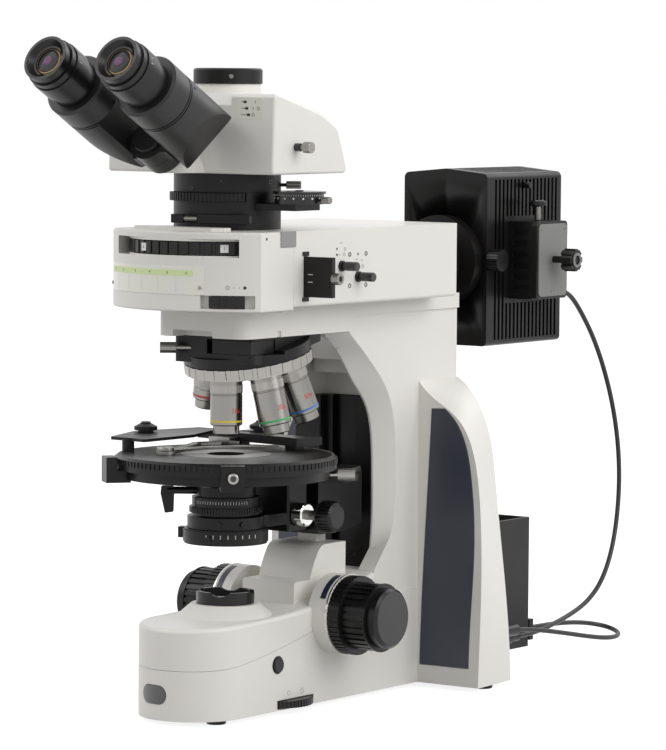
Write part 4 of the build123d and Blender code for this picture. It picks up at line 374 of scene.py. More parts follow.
def curved_plate(name: str, centre: Span, radius: float, spread: Span,
                 levels: Span, thickness: float, steps: int = 48) -> Mesh:
    """Plate on an upright cylinder: angle and height run over the face, and it stands out by its thickness.

    Args:
        name: the mesh's name.
        centre: X and Y of the cylinder's axis.
        radius: radius of the cylinder under the plate.
        spread: first and last angle in degrees, counted from the front towards the right.
        levels: lowest and highest Z.
        thickness: how far it stands out.
        steps: points along the arc.

    Returns:
        The closed mesh.
    """
    angle = np.radians(np.linspace(spread[0], spread[1], steps))
    corners = band(radius, radius + thickness, levels[0], levels[1])
    rows = [np.stack([centre[0] + r * np.sin(angle), centre[1] - r * np.cos(angle), np.full(steps, z)], axis=-1)
            for r, z in corners]
    points = np.stack(rows)
    sides = grid_faces(4, steps, True, False)
    number = np.arange(4) * steps
    caps = np.array([number, number + steps - 1])
    return mesh_from(name, to_frame(points), np.concatenate([sides, caps]))


def boxes(name: str, places: Sequence[Place], size: Vec3) -> Mesh:
    """One mesh of many equal small blocks, each about its own place."""
    corner = np.array([[x, y, z] for x in (-0.5, 0.5) for y in (-0.5, 0.5) for z in (-0.5, 0.5)]) * size
    quads = np.array([[0, 1, 3, 2], [4, 6, 7, 5], [0, 4, 5, 1], [2, 3, 7, 6], [0, 2, 6, 4], [1, 5, 7, 3]])
    points = np.concatenate([place.out(corner) for place in places])
    faces = np.concatenate([quads + 8 * index for index in range(len(places))])
    return mesh_from(name, points, faces)


def figures(name: str, text: str, height: float, wrap: Callable[[np.ndarray], np.ndarray],
            thickness: float = 0.15) -> Mesh:
    """Plain figures as a thin mesh laid on a surface.

    Args:
        name: the mesh's name.
        text: the figures.
        height: their height in millimetres.
        wrap: takes local x, y and height above the surface in millimetres and gives metres in the frame.
        thickness: how far they stand out.

    Returns:
        The mesh.
    """
    curve = bpy.data.curves.new(name, "FONT")
    curve.body = text
    curve.align_x = "CENTER"
    curve.align_y = "CENTER"
    curve.size = height
    curve.resolution_u = 3
    curve.extrude = thickness / 2
    holder = bpy.data.objects.new(name, curve)
    mesh = bpy.data.meshes.new_from_object(holder)
    bpy.data.objects.remove(holder)
    count = len(mesh.vertices)
    spots = np.empty(count * 3)
    mesh.vertices.foreach_get("co", spots)
    spots = spots.reshape(-1, 3)
    spots[:, 2] += thickness / 2
    mesh.vertices.foreach_set("co", wrap(spots).ravel())
    mesh.update()
    return mesh


def smooth_group() -> Tree:
    """Geometry group that merges loose triangles and shades smooth but for edges past 26 degrees."""
    found = bpy.data.node_groups.get("joined and smooth")
    if found:
        return found
    tree, entry, leave = new_group("joined and smooth", "GeometryNodeTree", "NodeSocketGeometry", "Geometry",
                                   ("Geometry",))
    merge = fill(tree.nodes.new("GeometryNodeMergeByDistance"), {"Distance": 2e-6})
    faces = tree.nodes.new("GeometryNodeSetShadeSmooth")
    edges = fill(tree.nodes.new("GeometryNodeSetShadeSmooth"), {"Shade Smooth": False})
    edges.domain = "EDGE"
    angle = tree.nodes.new("GeometryNodeInputMeshEdgeAngle")
    compare = tree.nodes.new("FunctionNodeCompare")
    compare.operation = "GREATER_THAN"
    compare.inputs[1].default_value = math.radians(26)
    wire(tree, (entry, 0, merge, "Geometry"), (merge, "Geometry", faces, "Geometry"),
         (faces, "Geometry", edges, "Geometry"), (angle, "Unsigned Angle", compare, 0),
         (compare, "Result", edges, "Selection"), (edges, "Geometry", leave, 0))
    return tree


def shade(thing: Thing, edge: Edge) -> None:
    """Smooth a piece and break its edges with modifiers, its own mesh left as it is."""
    step = thing.modifiers.new("joined and smooth", "NODES")
    step.node_group = smooth_group()
    if edge.value:
        bevel = thing.modifiers.new("broken edges", "BEVEL")
        bevel.width = edge.value
        bevel.segments = 2
        bevel.limit_method = "ANGLE"
        bevel.angle_limit = math.radians(38)
        bevel.use_clamp_overlap = True
        even = thing.modifiers.new("even normals", "WEIGHTED_NORMAL")
        even.keep_sharp = True


def piece(name: str, mesh: Mesh, finish: Finish, body: str = "stand", edge: Edge = Edge.CRISP,
          replaces: Sequence[str] = ()) -> None:
    """Put a finished mesh on a body.

    Args:
        name: the piece's name.
        mesh: its mesh in the frame.
        finish: its finish.
        body: the body that it rides on.
        edge: how its edges are broken.
        replaces: the CAD nodes that it stands for.
    """
    thing = bpy.data.objects.new(name, mesh)
    bpy.context.scene.collection.objects.link(thing)
    mesh.materials.append(finish.material())
    shade(thing, edge)
    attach(thing, body)
    if replaces:
        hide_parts(*replaces)
    LOG.info("piece %s on %s", name, body)


def cylinder_wrap(centre: Span, radius: float, angle: float, level: float) -> Callable:
    """Way to lay flat figures on an upright cylinder, at an angle from the front towards the right."""

    def wrap(spots: np.ndarray) -> np.ndarray:
        """Bend local x round the cylinder, y upwards and the height outwards."""
        turn = math.radians(angle) + spots[:, 0] / radius
        reach = radius + spots[:, 2]
        return to_frame(np.c_[centre[0] + reach * np.sin(turn), centre[1] - reach * np.cos(turn),
                              level + spots[:, 1]])

    return wrap


def spun(name: str, place: Place, profile: Sequence[Span], finish: Finish, body: str = "stand", steps: int = 96,
         ripple: Optional[Callable] = None, replaces: Sequence[str] = ()) -> None:
    """Put a turned piece on a body.

    Args:
        name: the piece's name.
        place: the axes that it stands on.
        profile: radius and height pairs, as for turned().
        finish: its finish.
        body: the body that it rides on.
        steps: points round the circle.
        ripple: factor on the radius at each angle.
        replaces: the CAD nodes that it stands for.
    """
    piece(name, turned(name, place, profile, steps, ripple), finish, body, Edge.CRISP, replaces)


def marks(name: str, places: Sequence[Place], size: Vec3, finish: Finish, body: str = "stand") -> None:
    """Put many equal small blocks on a body as one piece."""
    piece(name, boxes(name, places, size), finish, body)


def plate(name: str, place: Place, outline: np.ndarray, low: float, high: float, finish: Finish,
          edge: Edge = Edge.CRISP) -> None:
    """Put a prism on the stand."""
    piece(name, bar_of(name, place, outline, low, high), finish, edge=edge)


def cut_copy(name: str, node: str, spot: Sequence[float], way: Sequence[float]) -> Mesh:
    """Copy of a CAD node's mesh, cut off past a plane and closed again.

    Args:
        name: the mesh's name.
        node: the CAD node.
        spot: a point of the plane in millimetres about the optical axis.
        way: the plane's normal, towards what goes.

    Returns:
        The cut mesh.
    """
    work = bmesh.new()
    work.from_mesh(NODES[node].data)
    bmesh.ops.remove_doubles(work, verts=work.verts, dist=2e-6)
    found = bmesh.ops.bisect_plane(work, geom=work.verts[:] + work.edges[:] + work.faces[:], dist=1e-7,
                                   plane_co=Vector(to_frame(np.array(spot))), plane_no=Vector(way),
                                   clear_outer=True)
    rim = [item for item in found["geom_cut"] if isinstance(item, bmesh.types.BMEdge)]
    bmesh.ops.triangle_fill(work, edges=rim, use_beauty=True)
    bmesh.ops.recalc_face_normals(work, faces=work.faces)
    mesh = bpy.data.meshes.new(name)
    work.to_mesh(mesh)
    work.free()
    return mesh


def screw(name: str, place: Place, radius: float, finish: Finish, body: str = "stand", proud: float = 0.8) -> None:
    """Socket head screw: a low round head with a hollow in its middle."""
    profile = [(0.0, proud - 0.9), (radius * 0.5, proud - 0.9), (radius * 0.55, proud), (radius * 0.9, proud),
               (radius, proud - 0.2), (radius, -0.3), (0.0, -0.3)]
    spun(name, place, profile, finish, body, 24)


@dataclass
class Dressing:
    """Finishes of the CAD nodes."""

    groups: tuple[tuple[Finish, str], ...] = (
        (WHITE_PAINT, "base_lower_shell base_upper_shell stand_column stand_head illuminator_housing "
                      "illuminator_front head_housing"),
        (RUBBER, "rubber_feet"),
        (NAVY_PAINT, "side_panels"),
        (BLACK_PAINT, "guide_plate nosepiece_mount intermediate_tube photo_port lamp_house stage_bracket stage_disc "
                      "holder_rail condenser_bracket aperture_ring polarizer_ring condenser_lever slot_slider "
                      "filter_slider bertrand_wheel analyzer_slab compensator_slider"),
        (SMOKED, "clear_windows"),
        (BLACK_PLASTIC, "lamp_socket cable_plugs holder_knob_left holder_knob_right condenser_knob filter_wheel "
                        "shutter_slider upper_pull_rod lower_pull_rod left_eyepiece right_eyepiece light_button "
                        "dimmer_wheel field_diaphragm_ring coarse_knobs fine_knobs tension_ring stop_ring "
                        "collector_knob star_knob"),
        (BOX_PAINT, "power_supply_box"),
        (STEEL, "stage_lock_knob holder_carriage holder_finger nosepiece_turret beam_splitter_rod"),
        (DULL_STEEL, "nosepiece_lock_screw"),
        (BARREL_STEEL, "objectives"),
        (DIAL_BLACK, "analyzer_dial"),
        (TUBE_BLACK, "left_tube right_tube"))
    crisp: tuple[str, ...] = ("stage_disc", "coarse_knobs", "aperture_ring", "filter_wheel", "bertrand_wheel",
                              "objectives", "tension_ring", "stop_ring", "nosepiece_turret", "clear_windows")

    def build(self, nodes: dict[str, Thing]) -> None:
        """Give each node its material, its smooth shading and its broken edges."""
        dressed = [(name, finish) for finish, names in self.groups for name in names.split()]
        for name, finish in dressed:
            thing = nodes[name]
            material = finish.material()
            if not thing.material_slots:
                thing.data.materials.append(material)
            for slot in thing.material_slots:
                slot.material = material
            shade(thing, Edge.CRISP if name in self.crisp else Edge.SOFT)
            LOG.info("dressed %s", name)


@dataclass
class Cables:
    """Lamp cable and supply cable. Their points are the ones laid in the CAD."""

    diameter: float = 4.2
    lamp: tuple[Vec3, ...] = (
        (60, 405.3, 327), (60.2, 416, 326), (61.2, 433, 313), (64, 458, 281), (67, 477, 240.4), (70, 487, 199.8),
        (72.5, 488.5, 160), (75, 481, 122), (77, 468, 91), (79, 449, 68), (80.5, 424, 53.5), (82, 396, 46),
        (83, 369, 41), (84, 344, 37.5), (84, 324, 36), (84, 305.3, 36))
    supply: tuple[Vec3, ...] = (
        (92, 290.3, 44), (94, 312, 42), (97, 337, 38), (100, 362, 33.5), (104, 388, 28.5), (107, 412, 24.8),
        (107, 431, 24), (99.5, 446, 25.5), (86, 451, 28.5), (75, 442.5, 31.5), (71, 426, 34), (68.5, 408, 35.5),
        (66, 389, 36.2), (64, 370, 36), (62, 352.3, 36))
    lamp_length: float = 0.450
    supply_length: float = 0.278

    def curve(self, name: str, points: Sequence[Vec3]) -> Thing:
        """Make one smooth cable with its route as control points.

        Args:
            name: the cable's name.
            points: the route in millimetres.

        Returns:
            The curve object.
        """
        data = bpy.data.curves.new(name, "CURVE")
        data.dimensions = "3D"
        data.bevel_depth = self.diameter / 2000.0
        data.bevel_resolution = 5
        data.resolution_u = 10
        data.use_fill_caps = True
        spline = data.splines.new("NURBS")
        spots = to_frame(np.array(points))
        spline.points.add(len(spots) - 1)
        spline.points.foreach_set("co", np.c_[spots, np.ones(len(spots))].ravel())
        spline.order_u = 3
        spline.use_endpoint_u = True
        data.materials.append(CABLE_SKIN.material())
        cable = bpy.data.objects.new(name, data)
        bpy.context.scene.collection.objects.link(cable)
        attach(cable, "stand")
        LOG.info("cable %s", name)
        return cable

    def build(self) -> None:
        lamp = self.curve("lamp_lead", self.lamp)
        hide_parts("lamp_cable")
        supply = self.curve("supply_lead", self.supply)
        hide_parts("supply_cable")


@dataclass
class Eyepieces:
    """Lenses and grips of both eyepieces."""

    lens_level: float = 129.6
    lens_radius: float = 11.6
    lens_rise: float = 2.4
    grip_low: float = 108.0
    grip_high: float = 120.0
    grip_radius: float = 21.6

    def place(self, side: int) -> Place:
        """Axes of one tube, its z towards the eye."""
        turn = math.radians(EYE_TILT)
        return Place((side * EYE_FOOT[0], *EYE_FOOT[1:]), (1, 0, 0), (0, -math.cos(turn), math.sin(turn)))

    def build(self) -> None:
        """Make the eye lenses, the smooth barrels, their grooves and their scales."""
        for side, name in ((-1, "left"), (1, "right")):
            place, body = self.place(side), f"{name}_eyepiece"
            self.lens(place, name, body)
            ring = [(self.lens_radius, self.lens_level - 1), (self.lens_radius, self.lens_level + 1),
                    (self.lens_radius + 1.4, self.lens_level + 1.8), (self.lens_radius + 1.4, self.lens_level - 1)]
            spun(f"{name}_lens_ring", place, ring, GLOSS_BLACK, body, 64)
            barrel = [(self.grip_radius - 1.2, self.grip_low), (self.grip_radius - 0.15, self.grip_low + 0.5),
                      (self.grip_radius - 0.15, self.grip_high - 0.5), (self.grip_radius - 1.2, self.grip_high)]
            spun(f"{name}_eye_barrel", place, barrel, GLOSS_BLACK, body, 128)
            for index, level in enumerate((self.grip_low - 0.4, self.grip_high + 0.2)):
                groove = band(self.grip_radius - 1.3, self.grip_radius - 0.75, level, level + 0.5)
                spun(f"{name}_eye_groove_{index}", place, groove, BRIGHT_TRIM, body)
            fins = [Place(self.spot(side, a, self.grip_radius - 0.1, 118.0), self.ray(a), place.z)
                    for a in np.linspace(-75, 75, 11)]
            marks(f"{name}_eye_scale", fins, (0.3, 0.4, 2.4), MARK_WHITE, body)

    def lens(self, place: Place, name: str, body: str) -> None:
        """Dark domed lens with its coating's tint painted on as reflections: a purple patch at its middle and a brown
        gold ring near its rim.
        """
        rise = np.linspace(0, math.pi / 2, 14)
        dome = [self.dome(a) for a in rise] + [
            (self.lens_radius, self.lens_level - 1.5), (0.0, self.lens_level - 1.5)]
        spun(f"{name}_eye_lens", place, dome, LENS_GLASS, body, 64)
        # painted reflections laid as thin skins over the lens: a purple patch at the middle and a gold ring near the
        # rim
        for label, first, last, finish in (("purple_reflection", 0.0, 0.32, LENS_PURPLE_REFLECTION), ("gold", 1.02, 1.20, LENS_GOLD_REFLECTION)):
            arc = np.linspace(first, last, 6)
            skin = [self.dome(a, 0.06) for a in arc]
            back = [self.dome(a, -0.1) for a in arc[::-1]]
            spun(f"{name}_lens_{label}", place, skin + back, finish, body, 64)

    def dome(self, angle: float, lift: float = 0.0) -> Span:
        """Radius and height of the lens at an angle from its middle, lifted off its face."""
        return (self.lens_radius * math.sin(angle), self.lens_level + self.lens_rise * math.cos(angle) + lift)

    def ray(self, angle: float) -> Vec3:
        """Direction across the tube at an angle from the side that faces up."""
        turn, lean = math.radians(angle), math.radians(EYE_TILT)
        return (math.sin(turn), math.cos(turn) * math.sin(lean), math.cos(turn) * math.cos(lean))

    def spot(self, side: int, angle: float, radius: float, level: float) -> np.ndarray:
        """Point on the tube at an angle, a radius and a level along it."""
        place = self.place(side)
        return np.array(place.origin) + np.array(self.ray(angle)) * radius + np.array(place.z) * level


@dataclass
class Illuminator:
    """Chart plate, window strip, figures, screws and fittings of the illuminator."""

    arc_y: float = 28.0
    arc_radius: float = 110.0
    chart: Span = (-40.8, 18.3)
    chart_levels: Span = (342.2, 364.2)
    strip: Span = (-38.4, 13.6)
    strip_levels: Span = (356.9, 361.6)
    figure_angles: tuple[float, ...] = (-35.2, -26.6, -17.1, -7.8, 1.6, 10.7)
    peak: float = 5.6
    wheel_y: float = -11.5
    wheel_radius: float = 70.4
    side: float = 73.5

    def build(self) -> None:
        """Make the front's chart, the wheel's labels and the side's fittings."""
        self.chart_plate()
        self.wheel_labels()
        self.symbols()
        self.side_fittings()
        self.rods()

    def chart_plate(self) -> None:
        """Cream plate with the numbered strip, its grid and the pale peak of its curve."""
        self.chart_patch("chart_plate", 0.0, self.chart, self.chart_levels, 0.5, CHART_CREAM, 48, Edge.FINE)
        self.chart_patch("chart_strip", 0.45, self.strip, self.strip_levels, 0.2, STRIP_GREEN, 48)
        for index, angle in enumerate(self.figure_angles):
            wrap = cylinder_wrap((0.0, self.arc_y), self.arc_radius + 0.65, angle, 359.2)
            piece(f"chart_figure_{index}", figures("figure", str(index + 1), 3.2, wrap, 0.08), MARK_DARK)
            if index:
                self.chart_patch(f"chart_line_{index}", 0.45, (angle - 4.9, angle - 4.75), (344.0, 355.6), 0.12,
                                 PALE_LINE, 3)
        for index, (low, high, half) in enumerate(((343.4, 346.5, 3.9), (346.5, 350.0, 2.4), (350.0, 353.8, 1.1))):
            spread = (self.peak - half, self.peak + half)
            self.chart_patch(f"chart_peak_{index}", 0.45, spread, (low, high), 0.12, MARK_WHITE, 6)
        for index, (angle, level) in enumerate(((-40.9, 347.8), (16.7, 348.0))):
            screw(f"chart_screw_{index}", self.front_place(angle, level), 1.5, DULL_STEEL, proud=1.1)

    def chart_patch(self, name: str, lift: float, spread: Span, levels: Span,
                    thickness: float, finish: Finish, steps: int, edge: Edge = Edge.CRISP) -> None:
        """Plate on the curved front, lifted off it by a distance."""
        mesh = curved_plate(name, (0.0, self.arc_y), self.arc_radius + lift, spread, levels, thickness, steps)
        piece(name, mesh, finish, edge=edge)

    def wheel_labels(self) -> None:
        """White labels with plain figures on the selector ring."""
        centre = (0.0, self.wheel_y)
        for index, angle in enumerate((-19.7, 40.7)):
            spread = (angle - 2.6, angle + 2.6)
            label = curved_plate("wheel label", centre, self.wheel_radius - 0.5, spread, (375.4, 381.6), 0.9, 8)
            piece(f"wheel_label_{index}", label, MARK_WHITE, "filter_wheel")
            wrap = cylinder_wrap(centre, self.wheel_radius + 0.4, angle, 378.5)
            piece(f"wheel_figure_{index}", figures("figure", "61"[index], 3.6, wrap, 0.08), MARK_DARK, "filter_wheel")

    def front_place(self, angle: float, level: float) -> Place:
        """Axes on the curved front, z outwards, at an angle towards the right."""
        way = from_front(angle)
        return Place((self.arc_radius * way[0], self.arc_y + self.arc_radius * way[1], level), from_right(angle), way)

    def symbols(self) -> None:
        """Open circle, line and dot over the shutter, as plain marks."""
        ring = [(1.2, 0.0), (1.2, 0.1), (1.5, 0.1), (1.5, 0.0)]
        spun("open_mark", self.front_place(28.3, 348.4), ring, MARK_DARK, steps=32)
        marks("line_mark", [self.front_place(angle, 348.4) for angle in (30.9, 33.1)], (1.4, 0.3, 0.2), MARK_DARK)
        spun("dot_mark", self.front_place(35.4, 348.4), band(0.0, 1.3, 0.1, 0.0), MARK_DARK, steps=32)
        spun("pin_hole", side_place(self.side, -46.5, 386.3), band(0.0, 1.2, 0.05, 0.0), MARK_DARK, steps=24)

    def side_fittings(self) -> None:
        """Screws, slot frame, clip and side slider's nut on the right side."""
        for index, (y, z) in enumerate(((66.4, 370.7), (89.2, 370.7), (66.4, 345.4), (89.2, 345.4))):
            screw(f"side_screw_{index}", side_place(self.side, y, z), 2.0, SHADED_STEEL, proud=0.4)
        for index, z in enumerate((373.2, 337.0)):
            plate(f"slot_lip_{index}", side_place(self.side, 5.5, z), rounded(8.5, 3.4, 0.6), -0.3, 0.7, BLACK_PAINT)
        plate("side_clip", side_place(self.side, -18.2, 385.4), rounded(20.0, 12.4, 0.6), -0.3, 0.9, CLIP_GREY,
              Edge.FINE)
        nut = [(0.0, 6.2), (2.2, 6.2), (2.4, 6.9), (4.4, 6.9), (4.6, 6.6), (4.6, 0.4), (4.1, 0.2), (0.0, 0.2)]
        spun("slider_nut", side_place(101.0, 5.5, 354.3), nut, DULL_STEEL, "filter_slider", 48, teeth(16, 0.02))
        lines = [front_face(80.0, 3.15, z) for z in (357.0, 351.0)]
        marks("slider_marks", lines, (4.5, 0.5, 0.1), MARK_WHITE, "filter_slider")

    def rods(self) -> None:
        """Both pull rods with their collars and the plain marks about them."""
        collar = [(2.7, -0.5), (4.4, -0.5), (4.4, 1.6), (3.9, 2.0), (2.7, 2.0)]
        knob = [(0.0, -33.0), (2.5, -33.0), (2.5, 4.4), (3.4, 4.4), (3.8, 4.9), (3.8, 15.4), (3.3, 16.0), (0.0, 16.0)]
        for index, (name, y, z) in enumerate((("upper", 55.0, 361.7), ("lower", 78.0, 352.4))):
            place = side_place(self.side, y, z)
            spun(f"rod_collar_{index}", place, collar, BLACK_PAINT, steps=40)
            spun(f"{name}_rod_knob", place, knob, GLOSS_BLACK, f"{name}_pull_rod", 48, replaces=[f"{name}_pull_rod"])
        bars = [side_place(self.side + 0.05, y, z)
                for y, z in ((54.1, 380.2), (51.4, 370.9), (83.6, 365.5), (76.2, 366.4))]
        marks("rod_marks", bars, (3.0, 0.4, 0.1), MARK_DARK)
        blocks = [side_place(self.side + 0.05, y, z) for y, z in ((48.6, 375.6), (48.4, 370.9), (78.0, 370.6))]
        marks("rod_blocks", blocks, (1.8, 1.8, 0.1), MARK_DARK)
        ring = [(1.1, 0.0), (1.1, 0.1), (1.4, 0.1), (1.4, 0.0)]
        for index, (y, z) in enumerate(((59.7, 375.2), (58.9, 370.9), (84.5, 360.5))):
            spun(f"rod_circle_{index}", side_place(self.side, y, z), ring, MARK_DARK, steps=24)


@dataclass
class Objectives:
    """Coloured rings and figures on the objectives."""

    tilt: float = 12.0
    circle_radius: float = 32.0
    seat_z: float = 268.8
    barrel: float = 13.0
    rings: tuple[tuple[float, float, Finish], ...] = (
        (-60.0, 27.5, RING_RED), (0.0, 42.8, RING_YELLOW), (60.0, 46.0, RING_GREEN), (120.0, 46.3, RING_BLUE))
    figures: tuple[str, ...] = ("5x", "10x", "20x", "50x")

    def place(self, angle: float) -> Place:
        """Axes at one seat, z down the objective, x to the objective's outer side."""
        lean, turn = math.radians(self.tilt), math.radians(angle)
        down = np.array([0.0, math.sin(lean), -math.cos(lean)])
        front = np.array([0.0, -math.cos(lean), -math.sin(lean)])
        centre = np.array([0.0, self.circle_radius * math.cos(lean),
                           self.seat_z + self.circle_radius * math.sin(lean)])
        out = front * math.cos(turn) + np.array([1.0, 0.0, 0.0]) * math.sin(turn)
        axis = down * math.cos(lean) + out * math.sin(lean)
        return Place(centre + out * self.circle_radius, out, axis)

    def build(self) -> None:
        """Make the colour bands, the knurled bands and the engraved figures."""
        for (angle, length, finish), text in zip(self.rings, self.figures):
            place = self.place(angle)
            low = length - 11.5
            colour = band(self.barrel - 0.5, self.barrel + 0.06, low, low + 1.5)
            spun(f"colour_band_{text}", place, colour, finish, "nosepiece")
            knurl = band(self.barrel - 0.5, self.barrel + 0.12, 3.0, 9.0)
            spun(f"knurled_band_{text}", place, knurl, STEEL, "nosepiece", 432, teeth(72, 0.006))
            self.engrave(place, text, 0.55 * length)

    def engrave(self, place: Place, text: str, level: float) -> None:
        """Lay the magnification on the side of the barrel that faces the user's right."""
        facing = np.array([0.816, -0.578, 0.0])
        x, y, _ = place.axes()
        start = math.atan2(float(facing @ y), float(facing @ x)) - 0.35

        def wrap(spots: np.ndarray) -> np.ndarray:
            """Bend local x round the barrel against its turn, y up against the axis, the height outwards."""
            turn = start - spots[:, 0] / self.barrel
            reach = self.barrel + spots[:, 2]
            return place.out(np.c_[reach * np.cos(turn), reach * np.sin(turn), level - spots[:, 1]])

        mesh = figures("magnification", text, 6.0, wrap, 0.08)
        piece(f"magnification_{text}", mesh, RING_RED, "nosepiece")


@dataclass
class Stage:
    """Scale of the stage, its insert, holder knob rings and the condenser's scales."""

    top: float = 210.0
    condenser_axis: Span = (57.0, 158.5)
    # each scale's name, angles and step, radius, height, size of a mark, body and finish
    scales: tuple[tuple, ...] = (
        ("stage_scale", (0, 360, 2.0), 86.2, 210.02, (2.2, 0.25, 0.1), "stage", PALE_MARK),
        ("aperture_scale", (-110, -10, 5.0), 27.4, 172.5, (0.3, 0.4, 2.6), "aperture_ring", MARK_WHITE),
        ("polarizer_scale", (-80, 0, 10.0), 34.6, 146.0, (0.3, 0.5, 3.0), "polarizer_ring", MARK_WHITE))

    def build(self) -> None:
        """Make the degree scale, the bright insert and the scales of the condenser."""
        insert = [(15.0, self.top - 0.5), (36.0, self.top - 0.5), (36.0, self.top + 0.12), (15.5, self.top + 0.12)]
        spun("stage_insert", Place((0, 0, 0)), insert, DULL_STEEL, "stage")
        for name, span, radius, level, size, body, finish in self.scales:
            ways = [from_right(angle) for angle in np.arange(*span)]
            marks(name, [Place((radius * way[0], radius * way[1], level), way) for way in ways], size, finish, body)
        ring = [(3.0, 228.9), (4.6, 228.6), (4.6, 228.9), (3.0, 229.3)]
        for name, x, y in (("left", -99.0, 22.0), ("right", -33.0, 92.0)):
            spun(f"knob_ring_{name}", Place((x, y, 0.0)), ring, GLOSS_BLACK, f"holder_knob_{name}", 40)
        self.condenser_knob()
        knob = pointing(from_right(-50), 101.5, 199.9)
        cap = [(0.0, 0.0), (4.2, 0.0), (4.2, 1.6), (3.6, 2.1), (0.0, 2.1)]
        spun("vernier_knob", knob, cap, STEEL, "stage_carrier", 40)
        spun("vernier_eye", knob, band(0.0, 2.4, 2.1, 2.2), MARK_DARK, "stage_carrier", 32)

    def condenser_knob(self) -> None:
        """Collar, stem and rounded grip of the condenser's knob."""
        body = "condenser_knob"
        collar = [(4.2, 0.0), (9.6, 0.0), (9.6, 9.0), (8.4, 10.0), (4.2, 10.0)]
        spun("condenser_collar", side_place(30.6, *self.condenser_axis), collar, CHROME, body, 64)
        place = side_place(17.0, *self.condenser_axis)
        spun("condenser_stem", place, band(0.0, 4.0, 0.0, 38.0), DULL_STEEL, body, 48, replaces=[body])
        grip = [(0.0, 36.6), (8.5, 36.6), (11.4, 38.0), (12.6, 40.4), (12.6, 48.6), (11.6, 51.4), (9.2, 52.8),
                (0.0, 53.0)]
        spun("condenser_grip", place, grip, BLACK_PLASTIC, body, 336, teeth(28, 0.03))


